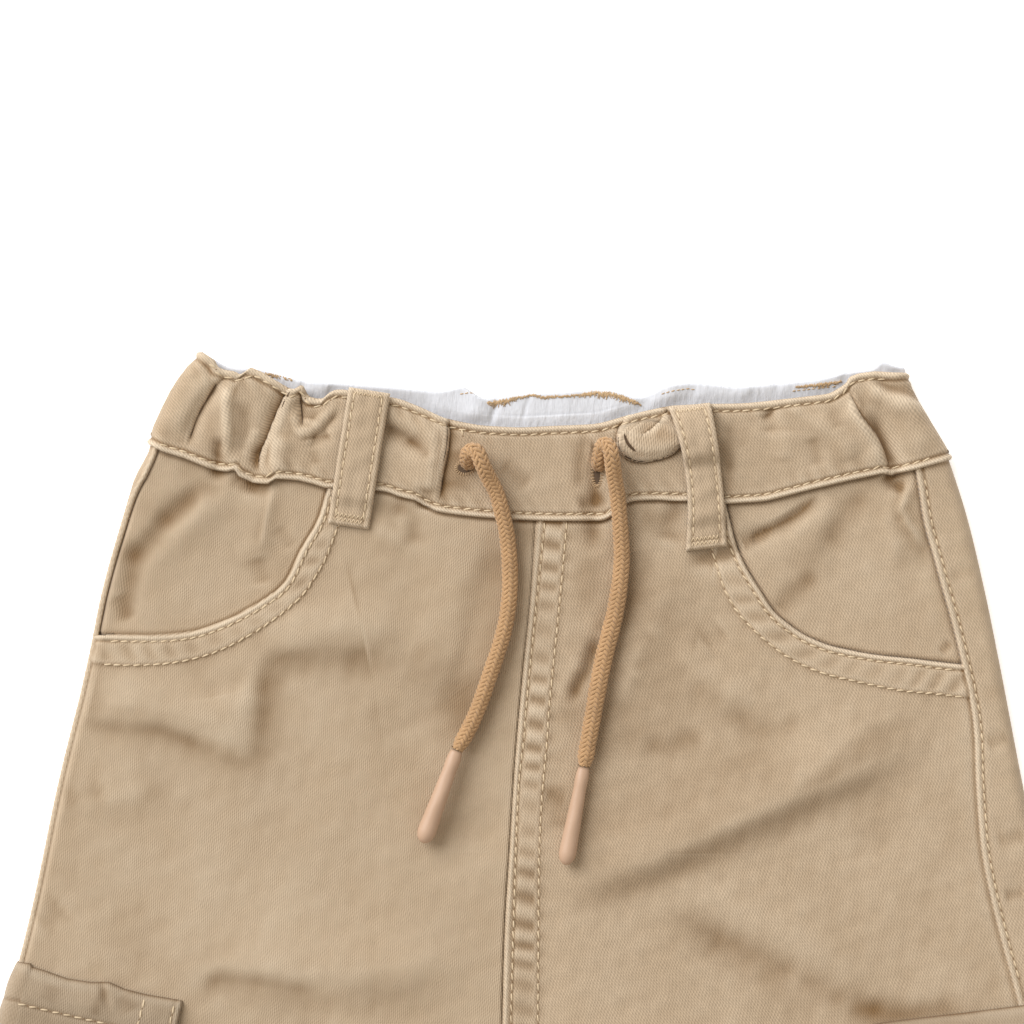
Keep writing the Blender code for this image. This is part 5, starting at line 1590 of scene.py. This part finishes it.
def make_twill(name, strength, roughness, ribbed, uneven):
    """Washed cotton twill: fine diagonal ribs, a soft nap, paler on worn ridges and with painted highlight,
    darker with painted shade.
    """
    made = Nodes(name, roughness)
    made.put("Sheen Weight", 0.18)
    made.put("Sheen Roughness", 0.5)
    made.put("Specular IOR Level", 0.25)
    weave = made.attribute("weave", "Vector")
    tone = made.attribute("tone", "Fac")
    drift = made.noise(weave, 0.16, 2.0)
    turns = TURN / TWILL_PITCH
    ribs = made.dot(weave, (turns * 0.839, turns * 0.545, 0.0))
    ribs = made.math("ADD", ribs, made.math("MULTIPLY", drift, 9.0))
    rib = made.math("SINE", ribs)
    threads = made.dot(weave, (TURN / 1.25 * 0.545, -TURN / 1.25 * 0.839, 0.0))
    threads = made.math("ADD", threads, made.math("MULTIPLY", ribs, 0.5))
    thread = made.math("SINE", made.math("ADD", threads, made.math("MULTIPLY", drift, 14.0)))
    grain = made.noise(made.scaled(weave, (1.0, 0.35, 1.0)), 2.6, 2.0)
    fuzz = made.noise(weave, 5.5, 2.0)
    mottle = made.noise(weave, 0.055, 3.0)
    patch = made.noise(weave, 0.35, 2.0)
    height = made.math("ADD", made.math("MULTIPLY", rib, 0.5), made.math("MULTIPLY", thread, 0.22))
    height = made.math("ADD", height, made.math("MULTIPLY", fuzz, 0.8))
    made.bump(height, 0.00012 + 0.00002 * ribbed, 0.8)
    light = made.math("MULTIPLY_ADD", rib, 0.085 * ribbed, strength)
    light = made.math("MULTIPLY_ADD", thread, 0.018 * ribbed, light)
    light = made.vary(grain, 0.24 * uneven, light)
    light = made.vary(fuzz, 0.18 * uneven, light)
    light = made.vary(mottle, 0.24 * uneven, light)
    light = made.vary(patch, 0.16 * uneven, light)
    colour = made.blend(mottle, (*TWILL_WARM, 1.0), (*TWILL_GREY, 1.0))
    # The tone attribute blends in the paler colour for wear and painted highlight, and the dark one for
    # painted shade.
    pale = made.math("MAXIMUM", made.math("MULTIPLY", tone, 0.62), 0.0)
    dark = made.math("MAXIMUM", made.math("MULTIPLY", tone, -0.72), 0.0)
    colour = made.blend(pale, colour, (*TWILL_WORN_AND_HIGHLIGHT, 1.0))
    colour = made.blend(dark, colour, (*TWILL_PAINTED_SHADE, 1.0))
    made.put("Base Color", made.brighten(colour, light))
    return made.material


def make_white_cotton():
    """The ribbed white cotton inside the waist."""
    made = Nodes("white_cotton", 0.9)
    made.put("Sheen Weight", 0.1)
    weave = made.attribute("weave", "Vector")
    tone = made.attribute("tone", "Fac")
    grain = made.noise(made.scaled(weave, (1.0, 0.2, 1.0)), 2.2, 3.0)
    crumple = made.noise(made.scaled(weave, (1.0, 0.45, 1.0)), 0.55, 4.0, 0.6)
    made.bump(made.math("MULTIPLY_ADD", crumple, 2.0, grain), 0.00022, 0.7)
    # Painted shade and painted highlight from the tone attribute.
    light = made.math("MULTIPLY_ADD", tone, 0.22, 0.99)
    light = made.vary(grain, 0.16, light)
    light = made.vary(crumple, 0.14, light)
    base = made.blend(grain, (0.715, 0.74, 0.80, 1.0), (0.755, 0.775, 0.83, 1.0))
    made.put("Base Color", made.brighten(base, light))
    return made.material


def make_thread(name, pale, deep, scale):
    """Sewing thread: two plies twisted together, a little fuzzy."""
    made = Nodes(name, 0.7)
    made.put("Sheen Weight", 0.2)
    place = made.position()
    ply = made.noise(place, scale, 2.0)
    fleck = made.noise(place, 260.0, 1.0)
    made.bump(ply, 0.00008, 0.8)
    share = made.vary(ply, 1.4, 0.4)
    colour = made.blend(share, (*pale, 1.0), (*deep, 1.0))
    light = made.vary(fleck, 0.3, 1.0)
    made.put("Base Color", made.brighten(colour, light))
    return made.material


def make_braid():
    """Soft spun yarn, with fine fibres along each strand."""
    made = Nodes("tan_braid", 0.85)
    made.put("Sheen Weight", 0.3)
    made.put("Sheen Roughness", 0.4)
    place = made.position()
    strand = made.attribute("strand", "Vector")
    fibre = made.noise(made.scaled(strand, (0.5, 7.0, 1.0)), 2.4, 3.0, 0.65)
    soft = made.noise(place, 150.0, 2.0)
    made.bump(fibre, 0.00022, 0.9)
    share = made.vary(fibre, 1.5, 0.45)
    colour = made.blend(share, (0.62, 0.39, 0.205, 1.0), (0.43, 0.25, 0.112, 1.0))
    # Painted shade between the strands, from the tone attribute.
    tone = made.attribute("tone", "Fac")
    colour = made.blend(tone, colour, (0.22, 0.115, 0.045, 1.0))
    light = made.vary(soft, 0.35, 1.02)
    made.put("Base Color", made.brighten(colour, light))
    return made.material


def make_silicone():
    """Soft matte silicone, with faint dimples."""
    made = Nodes("tan_silicone", 0.5)
    made.put("Coat Weight", 0.08)
    made.put("Coat Roughness", 0.4)
    place = made.position()
    soft = made.noise(place, 110.0, 2.0)
    fine = made.noise(place, 900.0, 1.0)
    made.bump(made.math("MULTIPLY_ADD", fine, 0.12, soft), 0.0004, 0.5)
    share = made.vary(soft, 1.2, 0.5)
    colour = made.blend(share, (0.59, 0.405, 0.285, 1.0), (0.525, 0.345, 0.23, 1.0))
    made.put("Base Color", colour)
    return made.material


def make_floor():
    made = Nodes("pale_floor", 0.95)
    made.put("Base Color", (0.97, 0.97, 0.97, 1.0))
    made.put("Emission Color", (1.0, 1.0, 1.0, 1.0))
    made.put("Emission Strength", FLOOR_GLOW)
    return made.material


TWILL_PITCH = 0.7
TWILL_WARM = (0.552, 0.415, 0.276)
TWILL_GREY = (0.522, 0.414, 0.297)
# The twill's colours for wear with painted highlight, and for painted shade.
TWILL_WORN_AND_HIGHLIGHT = (0.740, 0.620, 0.470)
TWILL_PAINTED_SHADE = (0.235, 0.138, 0.062)
FLOOR_GLOW = 0.5
SKY = 0.52
SUN = 2.9
SUN_WIDTH = 48.0
SUN_FROM = (-0.66, 0.62, 0.68)


def make_camera():
    """Straight above the middle of the photograph."""
    data = bpy.data.cameras.new("camera")
    data.lens = CAMERA_LENS
    data.clip_end = 10.0
    camera = add("camera", data)
    camera.location = [value * MM for value in CAMERA_PLACE]
    bpy.context.scene.camera = camera


def frames_along(line):
    """Tangents, and sideways and upward directions that turn as little as they can."""
    tangent = np.gradient(line, axis=0)
    tangent /= np.linalg.norm(tangent, axis=1, keepdims=True)
    side = np.zeros_like(line)
    side[-1] = np.cross(tangent[-1], (0.0, 0.0, 1.0))
    side[-1] /= np.linalg.norm(side[-1])
    for k in range(len(line) - 2, -1, -1):
        turned = side[k + 1] - tangent[k] * (side[k + 1] @ tangent[k])
        side[k] = turned / np.linalg.norm(turned)
    return tangent, side, np.cross(side, tangent)


BRAID_LAY = 11.6
BRAID_RADIUS = 1.86
BRAID_WAVE = 0.24
STRAND_WIDE = 0.6
STRAND_HIGH = 0.42
STRANDS = 8


def make_cord(name):
    """A drawcord's free end: sixteen strands braided two over and two under."""
    line = fine_line(CORDS[name], 0.42)
    count = len(line)
    at = np.linspace(0.0, 1.0, count)
    length = np.linalg.norm(np.diff(line, axis=0), axis=1).sum()
    s = at * length
    _, side, up = frames_along(line)
    pinch = 1 - 0.30 * ease((s - (length - 3.2)) / 3.2)
    flat = 1.0 + (CORD_SPREAD[name] - 1.0) * ease((at - 0.3) / 0.3)
    flat = flat + 0.10 * (name == "drawcord_right") * bell(at - 0.68, 0.16)
    wide = pinch * flat
    high = pinch / np.sqrt(flat)
    ring = np.linspace(0.0, TURN, 8, endpoint=False)
    points = []
    faces = []
    strands = []
    strand_shades = []
    start = 0
    for way in (1, -1):
        for k in range(STRANDS):
            turn = way * TURN * s / BRAID_LAY + TURN * k / STRANDS
            crossing = 2 * STRANDS * s / BRAID_LAY
            phase = TURN * (2 * k + way * crossing - 0.5) / 4
            over = way * np.cos(phase)
            radius = BRAID_RADIUS + BRAID_WAVE * over
            jitter = 0.04 * np.sin(s / 2.3 + k * 1.7 + way)
            radius = radius + jitter
            out = np.cos(turn)[:, None] * side + np.sin(turn)[:, None] * up
            reach_wide = (radius * np.cos(turn) * wide)[:, None] * side
            reach_high = (radius * np.sin(turn) * high)[:, None] * up
            middle = line + reach_wide + reach_high
            path = np.gradient(middle, axis=0)
            path /= np.linalg.norm(path, axis=1, keepdims=True)
            beside = np.cross(path, out)
            beside /= np.linalg.norm(beside, axis=1, keepdims=True)
            body = middle[:, None, :]
            body = body + (STRAND_WIDE * np.cos(ring))[None, :, None] * beside[:, None, :]
            body = body + (STRAND_HIGH * np.sin(ring))[None, :, None] * out[:, None, :]
            points.append(body.reshape(-1, 3))
            along = np.tile(s[:, None], (1, 8))
            around = np.tile((ring + 1.3 * k + 11.0 * way)[None, :], (count, 1)) / TURN
            strands.append(np.stack([along, around * 2.0, 0 * along + k], -1).reshape(-1, 3))
            # Painted shade where a strand passes under its neighbours and along its sides.
            low = np.clip(-over, 0, 1)[:, None] + 0.55 * np.abs(np.cos(ring))[None, :] ** 6
            strand_shades.append(np.clip(0.34 * low, 0, 1).ravel())
            faces.append(ring_faces(count, 8, start)[1])
            start += count * 8
    core = line[:, None, :]
    core = core + (1.6 * wide[:, None] * np.cos(ring))[..., None] * side[:, None, :]
    core = core + (1.6 * high[:, None] * np.sin(ring))[..., None] * up[:, None, :]
    points.append(core.reshape(-1, 3))
    strands.append(np.zeros((count * 8, 3)))
    # The core is painted fully dark, as shade between the strands.
    strand_shades.append(np.ones(count * 8))
    faces.append(ring_faces(count, 8, start)[1])
    data = bpy.data.meshes.new(name)
    data.from_pydata((np.concatenate(points) * MM).tolist(), [], np.concatenate(faces).tolist())
    give(data, "strand", "FLOAT_VECTOR", np.concatenate(strands))
    give(data, "tone", "FLOAT", np.concatenate(strand_shades))
    piece = placed("braid_" + name[9:], data, braid)
    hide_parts(name)
    return piece, line, length


def make_tip(name):
    """A moulded tip turned about its own axis, a little flattened at its neck."""
    start, free, width = TIPS[name]
    start = np.array(start)
    axis = np.array(free) - start
    length = np.linalg.norm(axis)
    axis = axis / length
    side = np.cross(axis, (0.0, 0.0, 1.0))
    side = side / np.linalg.norm(side)
    up = np.cross(side, axis)
    shares, radii = np.array(TIP_SHAPE).T
    last = shares[-1]
    cap = np.sin(np.linspace(0.0, QUARTER, 13))[1:]
    share = np.concatenate([np.linspace(0.0, last, 34), last + 0.14 * cap])
    radius = smooth(np.minimum(share, last), shares, radii)
    cap = np.clip((share - last) / 0.14, 0.0, 1.0)
    radius = radius * np.sqrt(np.maximum(1 - cap**2.2, 0.0004)) * width
    ring = np.linspace(0.0, TURN, 36, endpoint=False)
    flatter = 1 - 0.16 * np.exp(-((share - 0.04) / 0.10) ** 2)
    middle = start + axis * (length * share)[:, None]
    body = middle[:, None, :]
    body = body + (radius[:, None] * np.cos(ring))[..., None] * side
    body = body + ((radius * flatter)[:, None] * np.sin(ring))[..., None] * up
    dimple = 0.10 * wobble(share[:, None] * 9.0, np.cos(ring)[None, :] * 2.0, 3.2, 17)
    body = body + (dimple * np.sin(ring)[None, :] * (share < 0.8)[:, None])[..., None] * up
    index, quads = ring_faces(len(share), 36)
    faces = [*quads.tolist(), index[0].tolist(), index[-1][::-1].tolist()]
    piece = joined_mesh("moulded_tip_" + name[9:], [(body.reshape(-1, 3), faces)], silicone)
    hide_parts(name)
    return piece


def tree_of(pieces):
    """A search tree over the faces of some pieces, in millimetres."""
    points = []
    faces = []
    start = 0
    for piece in pieces:
        data = piece.data
        place = np.empty(len(data.vertices) * 3)
        data.vertices.foreach_get("co", place)
        points.append(place.reshape(-1, 3) / MM)
        corners = np.empty(len(data.loops), dtype=np.int64)
        data.loops.foreach_get("vertex_index", corners)
        faces.extend((corners.reshape(-1, 4) + start).tolist())
        start += len(data.vertices)
    return BVHTree.FromPolygons(np.concatenate(points).tolist(), faces)


def seen_from_above(tree, x, y):
    hit = tree.ray_cast((float(x), float(y), 60.0), (0.0, 0.0, -1.0))[0]
    return None if hit is None else np.array(hit)


def stitch(tree, middle, run, length, width, rise=0.12, sink=0.18):
    """One stitch: a short thick thread that goes into the cloth at both ends."""
    places = []
    for t in (-1.0, -0.55, 0.0, 0.55, 1.0):
        spot = middle + run * t * length / 2
        hit = seen_from_above(tree, spot[0], spot[1])
        if hit is None:
            return None
        places.append(hit)
    places = np.array(places)
    lift = np.array([-sink, 0.02 + rise * 0.5, rise, 0.02 + rise * 0.5, -sink])
    places[:, 2] = np.maximum(places[:, 2], blended(places[:, 2])) + lift
    size = np.array([0.55, 0.92, 1.0, 0.92, 0.55]) * width / 2
    across = np.array([-run[1], run[0], 0.0])
    ring = np.linspace(0.0, TURN, 6, endpoint=False)
    body = places[:, None, :] + (size[:, None] * np.cos(ring))[..., None] * across
    body[..., 2] += size[:, None] * np.sin(ring) * 0.85
    index, quads = ring_faces(5, 6)
    return body.reshape(-1, 3), [*quads.tolist(), index[0][::-1].tolist(), index[-1].tolist()]


def blended(z):
    return np.array([z[0], (z[0] + z[2]) / 2, (z[1] + z[3]) / 2, (z[2] + z[4]) / 2, z[4]])


def hole(tree, place, size=0.24):
    """A painted shadow: the dark prick where two stitches go into the cloth."""
    hit = seen_from_above(tree, place[0], place[1])
    if hit is None:
        return None
    ring = np.linspace(0.0, TURN, 6, endpoint=False)
    points = hit + np.stack([size * np.cos(ring), size * np.sin(ring), 0 * ring + 0.05], -1)
    return points, [[0, 1, 2, 3, 4, 5]]


class Sewing:
    """Collects a piece of sewing: its threads and the painted shadows of the pricks at their ends."""

    def __init__(self, pieces, seed):
        self.tree = tree_of(pieces)
        self.threads = []
        self.holes = []
        self.pick = np.random.default_rng(seed)

    def thread(self, middle, run, length, width, **sizes):
        """One stitch, where the cloth is under it."""
        made = stitch(self.tree, middle, run, length, width, **sizes)
        if made is not None:
            self.threads.append(made)

    def row(self, line, pitch=STITCH_PITCH, length=STITCH_LENGTH, width=STITCH_WIDTH, slant=0.13):
        """A row of stitches along a line of x and y."""
        far = lengths_along(line)
        count = int(far[-1] / pitch)
        for k in range(count):
            s = (k + 0.5) * pitch + self.pick.normal(0, 0.08)
            spot = np.array([np.interp(s, far, line[:, i]) for i in (0, 1)])
            ahead = np.array([np.interp(s + 0.6, far, line[:, i]) for i in (0, 1)])
            behind = np.array([np.interp(s - 0.6, far, line[:, i]) for i in (0, 1)])
            run = ahead - behind
            run /= np.linalg.norm(run)
            angle = slant + self.pick.normal(0, 0.06)
            cos, sin = math.cos(angle), math.sin(angle)
            turned = np.array([run[0] * cos - run[1] * sin, run[0] * sin + run[1] * cos, 0.0])
            spot = np.array([spot[0], spot[1], 0.0])
            size = length * self.pick.uniform(0.93, 1.05)
            self.thread(spot, turned, size, width * self.pick.uniform(0.92, 1.1))
            prick = hole(self.tree, spot + np.array([run[0], run[1], 0.0]) * pitch / 2)
            if prick is not None:
                self.holes.append(prick)

    def bar(self, start, end, half, pitch, width=0.36):
        """A dense bar of short stitches set across a line."""
        start = np.array([*start, 0.0], float)
        end = np.array([*end, 0.0], float)
        run = end - start
        length = np.linalg.norm(run)
        run = run / length
        across = np.array([-run[1], run[0], 0.0])
        for k in range(int(length / pitch) + 1):
            spot = start + run * k * pitch
            lean = across * math.cos(0.5) + run * math.sin(0.5) * (-1) ** k
            self.thread(spot, lean, 2 * half, width, rise=0.16, sink=0.05)

    def edging(self, line, halves):
        """Close slanted threads over an edge, wide or narrow from place to place."""
        far = lengths_along(line)
        s = 0.0
        while s < far[-1]:
            s += self.pick.uniform(0.10, 0.20)
            half = float(np.interp(s, far, halves)) * self.pick.uniform(0.4, 1.5)
            spot = np.array([np.interp(s, far, line[:, 0]), np.interp(s, far, line[:, 1]), 0.0])
            spot[1] += self.pick.normal(-0.75 * half, 0.15)
            angle = self.pick.uniform(0.5, 2.6)
            lean = np.array([math.cos(angle), math.sin(angle), 0.0])
            self.thread(spot, lean, max(2.4 * half, 0.6), 0.26, rise=0.3, sink=0.0)

    def finish(self, name):
        piece = joined_mesh("stitches_" + name, self.threads, cream_thread)
        if self.holes:
            pricks = joined_mesh("pricks_" + name, self.holes, prick_shade)
        return piece


# The tan edging of the white facing: across and down on the photograph, half widths.
OVERLOCK = [
    ([487, 495, 506, 514, 520, 534, 543, 560, 577, 588, 600, 612, 624, 633, 641],
     [402, 401.5, 399.5, 397.5, 396.5, 394, 396.5, 396, 394.5, 392.5, 391.5, 392.5, 396, 400, 404.5],
     [0.5, 0.8, 0.85, 0.6, 0.3, 0.3, 0.35, 0.2, 0.25, 0.6, 0.8, 0.85, 0.75, 0.5, 0.15]),
    ([262, 272, 282, 291], [372.5, 373.8, 375.6, 378.5], [0.3, 0.45, 0.5, 0.4]),
    ([796, 812, 828, 842], [386.5, 384.8, 382.8, 380.8], [0.2, 0.45, 0.5, 0.3]),
]

# Short rows of stitches on the white facing, on the photograph.
FACING_ROWS = [
    [(459, 394), (470, 392.5), (485, 396)],
    [(661, 394), (674, 390.5), (688, 388.5), (700, 390)],
    [(792, 391), (815, 388.5), (838, 386)],
]


def edge_line(edge, first, last, shift):
    """The waistband's edge between two shares, moved up by a shift."""
    x, y = place_at(np.linspace(first, last, 400), edge)
    return fine_line(np.stack([x, y + shift], -1)[::4], 0.5)


def beside(line, shift):
    """A line moved to its left."""
    run = np.gradient(line, axis=0)
    run /= np.linalg.norm(run, axis=1, keepdims=True)
    return line + shift * np.stack([-run[:, 1], run[:, 0]], -1)


def in_from_edge(side, away, y):
    """Places at a distance in from a leg's outer edge."""
    return np.stack([outer_x(side, y) - side * away, y], -1)


def loop_sewing(sewing, ends):
    """Two rows down a belt loop and a dense bar at its foot."""
    top, bottom = (np.array(end) for end in ends)
    run = (bottom - top) / np.linalg.norm(bottom - top)
    across = np.array([-run[1], run[0]])
    for side in (-1, 1):
        t = np.linspace(0.03, 0.96, 24)
        shift = side * (LOOP_WIDTH / 2 - 2.1) + loop_bend(ends, t, side * 0.6)
        sewing.row(top + t[:, None] * (bottom - top) + shift[:, None] * across, pitch=2.9)
    half = (LOOP_WIDTH / 2 - 2.4) * across
    for back in (1.9, 3.2):
        middle = bottom - run * back
        sewing.bar(middle - half, middle + half, half=0.75, pitch=0.62, width=0.3)
    middle = top + run * 1.5
    sewing.bar(middle - half, middle + half, half=0.6, pitch=0.7, width=0.3)


def buttonhole(name, centre, wide, high, band):
    """A worked buttonhole: a dark slot of painted shade for its opening, with close stitches round it."""
    work = Sewing([band], 0)
    slot = []
    for a in np.linspace(0.0, TURN, 24, endpoint=False):
        hit = seen_from_above(work.tree, centre[0] + wide * math.cos(a), centre[1] + high * math.sin(a))
        slot.append(hit + np.array([0.0, 0.0, 0.08]))
    # The slot is a disc of painted shade.
    dark = joined_mesh("slot_" + name, [(np.array(slot), [list(range(24))])], painted_shadow)
    count = int(math.pi * (wide + high) / 0.52)
    reach = 0.45
    for a in np.linspace(0.0, TURN, count, endpoint=False):
        run = np.array([math.cos(a) * high, math.sin(a) * wide, 0.0])
        run /= np.linalg.norm(run)
        x = centre[0] + (wide + reach) * math.cos(a)
        y = centre[1] + (high + reach) * math.sin(a)
        work.thread(np.array([x, y, 0.0]), run, 1.25, 0.42, rise=0.16, sink=0.1)
    piece = joined_mesh("buttonhole_" + name, work.threads, tan_thread)


# Painted shadows in the creases' thin dark gaps: their lines on the photograph, and their half width.
CREASE_SHADOWS = [
    (0.42, [(623.5, 434), (625.5, 440), (629, 446), (635.5, 452)]),
    (0.2, [(619, 431), (617.8, 440), (619, 449), (625, 456.5), (638, 461.8), (655, 460.2),
           (671, 454), (684, 445)]),
    (0.14, [(300, 398), (301.5, 408), (302.5, 418), (303, 425)]),
    (0.14, [(447.2, 424), (447.6, 436), (446.2, 450), (443.5, 462)]),
    (0.2, [(291, 391), (286, 399), (282, 408)]),
]


def crease_shadow_ribbons(tree):
    """Slim ribbons of painted shadow in the deepest creases."""
    parts = []
    for half, line in CREASE_SHADOWS:
        line = fine_line(in_frame(line), 0.7)
        slim = half * np.sqrt(np.sin(np.linspace(0.03, math.pi - 0.03, len(line))))
        sides = []
        for sign in (-1, 1):
            spots = beside(line, sign * slim[:, None])
            sides.append([seen_from_above(tree, spot[0], spot[1]) for spot in spots])
        pairs = [(a, b) for a, b in zip(*sides) if a is not None and b is not None]
        points = np.array([a for a, b in pairs] + [b for a, b in pairs]) + np.array([0.0, 0.0, 0.07])
        count = len(pairs)
        faces = [[i, i + 1, count + i + 1, count + i] for i in range(count - 1)]
        parts.append((points, faces))
    return joined_mesh("crease_shadow_ribbons", parts, painted_shadow)


def make_lights():
    world = bpy.data.worlds.new("sky")
    world.use_nodes = True
    world.node_tree.nodes["Background"].inputs["Color"].default_value = (1.0, 0.925, 0.82, 1.0)
    world.node_tree.nodes["Background"].inputs["Strength"].default_value = SKY
    bpy.context.scene.world = world
    data = bpy.data.lights.new("key", "SUN")
    data.energy = SUN
    data.angle = math.radians(SUN_WIDTH)
    data.color = (1.0, 1.005, 1.02)
    key = add("key", data)
    key.rotation_euler = Vector(SUN_FROM).to_track_quat("Z", "Y").to_euler()


def make_floor_piece():
    data = bpy.data.meshes.new("floor")
    half = 1.5
    corners = [(-half, -half), (half, -half), (half, half), (-half, half)]
    data.from_pydata([(x, y, -0.0002) for x, y in corners], [], [[0, 1, 2, 3]])
    data.materials.append(make_floor())
    add("floor", data)


bpy.context.scene.view_settings.view_transform = "Standard"
make_camera()
make_lights()
make_floor_piece()
twill = make_twill("khaki_twill", 1.005, 0.88, 1.7, 1.1)
leg_twill = {LEFT: make_twill("khaki_twill_fine", 1.0, 0.88, 0.7, 0.65), RIGHT: twill}
# The flaps' twill: its colour at 0.76 of the twill's is painted shade; its weaker ribs and lower roughness
# are the flaps' smoother face.
flap_painted_shade_twill = make_twill("khaki_twill_flap", 0.76, 0.66, 0.35, 0.8)
white_cotton = make_white_cotton()
cream_thread = make_thread("cream_thread", (0.76, 0.62, 0.43), (0.62, 0.475, 0.30), 700.0)
tan_thread = make_thread("tan_thread", (0.50, 0.35, 0.20), (0.33, 0.21, 0.11), 700.0)
gold_thread = make_thread("gold_thread", (0.66, 0.47, 0.27), (0.46, 0.30, 0.15), 500.0)
# Near-black brown for painted shadows: the creases' ribbons and the buttonholes' slots.
painted_shadow = make_thread("painted_shadow", (0.105, 0.060, 0.028), (0.07, 0.038, 0.016), 700.0)
prick_shade = make_thread("prick_shade", (0.27, 0.165, 0.082), (0.21, 0.125, 0.06), 700.0)
braid = make_braid()
silicone = make_silicone()

# The cords come first.
for cord_name in CORDS:
    piece, route, reach = make_cord(cord_name)
    tip = make_tip("cord_tip_" + cord_name[9:])

fronts = {side: front_leg(side) for side in (LEFT, RIGHT)}
backs = {side: back_leg(side) for side in (LEFT, RIGHT)}
facings = {side: pocket_facing(side) for side in (LEFT, RIGHT)}
bags = {side: cargo_pocket(side) for side in (LEFT, RIGHT)}
flaps = {side: cargo_flap(side) for side in (LEFT, RIGHT)}
band_front = waistband("front")
band_back = waistband("back")
facing = waist_facing()
loops = {name: belt_loop(name, ends) for name, ends in LOOPS.items()}

band_sewing = Sewing([band_front], 41)
band_sewing.row(edge_line(FRONT_TOP_Y, 0.015, 0.985, -2.3), pitch=3.06)
band_sewing.row(edge_line(SEAM_Y, 0.015, 0.985, 2.2), pitch=3.06)
band_sewing.row(in_frame([(461, 420), (462, 430), (464, 441)]), pitch=2.4, length=1.9)
band_sewing.finish("band")

for side in (LEFT, RIGHT):
    sewing = Sewing([fronts[side], backs[side], facings[side]], 50 + side)
    for line in (beside(MOUTH_LINES[side], -side * 1.9)[2:], ROW_LINES[side]):
        inside = side * (side_seam_x(side, line[:, 1]) - line[:, 0]) > 0.6
        sewing.row(line[inside], pitch=2.95)
    if side == RIGHT:
        for line in FLY_LINES:
            sewing.row(line, pitch=3.15)
        down = np.arange(60.0, seam_top_y(side) - 1.0, 2.0)[::-1]
        sewing.row(np.stack([side_seam_x(side, down, -2.5), down], -1), pitch=3.0)
    hem_y = HEM_Y + HEM_DEPTH - 1.5
    across = np.linspace(outer_x(side, hem_y) - side * 3.0, inner_x(side, hem_y) + side * 3.0, 60)
    sewing.row(np.stack([across, 0 * across + hem_y], -1), pitch=3.1)
    sewing.finish("leg_" + WORD[side])

for name, ends in LOOPS.items():
    sewing = Sewing([loops[name]], 61)
    loop_sewing(sewing, ends)
    sewing.finish(name)


for side in (LEFT, RIGHT):
    sewing = Sewing([flaps[side], bags[side]], 70 + side)
    top, slope, width = CARGO[side]
    away = np.linspace(3.0, width - 2.2, 40)
    line_y = top - 11.0 - slope * away / width
    sewing.row(in_from_edge(side, away, line_y), pitch=3.45, length=2.4)
    foot_y = top - FLAP_DEPTH + 2.2 - slope * away / width
    sewing.row(in_from_edge(side, away, foot_y), pitch=3.2)
    depth = np.linspace(1.5, FLAP_DEPTH - 2.0, 40)
    for inset in (2.2, 11.5):
        share = (width - inset) / width
        edge_y = top - depth - slope * share
        sewing.row(in_from_edge(side, width - inset, edge_y), pitch=3.1)
    depth = np.linspace(FLAP_DEPTH + 2.0, BAG_DEPTH - 2.0, 40)
    edge_y = top - depth - slope
    sewing.row(in_from_edge(side, width - BAG_INSET - 2.0, edge_y), pitch=3.1)
    foot_y = top - BAG_DEPTH + 2.0 - slope * away / width
    sewing.row(in_from_edge(side, away, foot_y), pitch=3.1)
    sewing.finish("cargo_" + WORD[side])

facing_sewing = Sewing([facing], 83)
for px, py, half in OVERLOCK:
    facing_sewing.edging(in_frame(np.stack([px, py], -1)), half)
for line in FACING_ROWS:
    facing_sewing.row(in_frame(line), pitch=1.5, length=1.3, width=0.3)
overlock = joined_mesh("stitches_facing", facing_sewing.threads, gold_thread)

gaps = crease_shadow_ribbons(tree_of([band_front]))
buttonhole("left", in_frame([(465, 468)])[0], 2.2, 1.5, band_front)
buttonhole("right", in_frame([(597, 472)])[0], 0.9, 3.8, band_front)
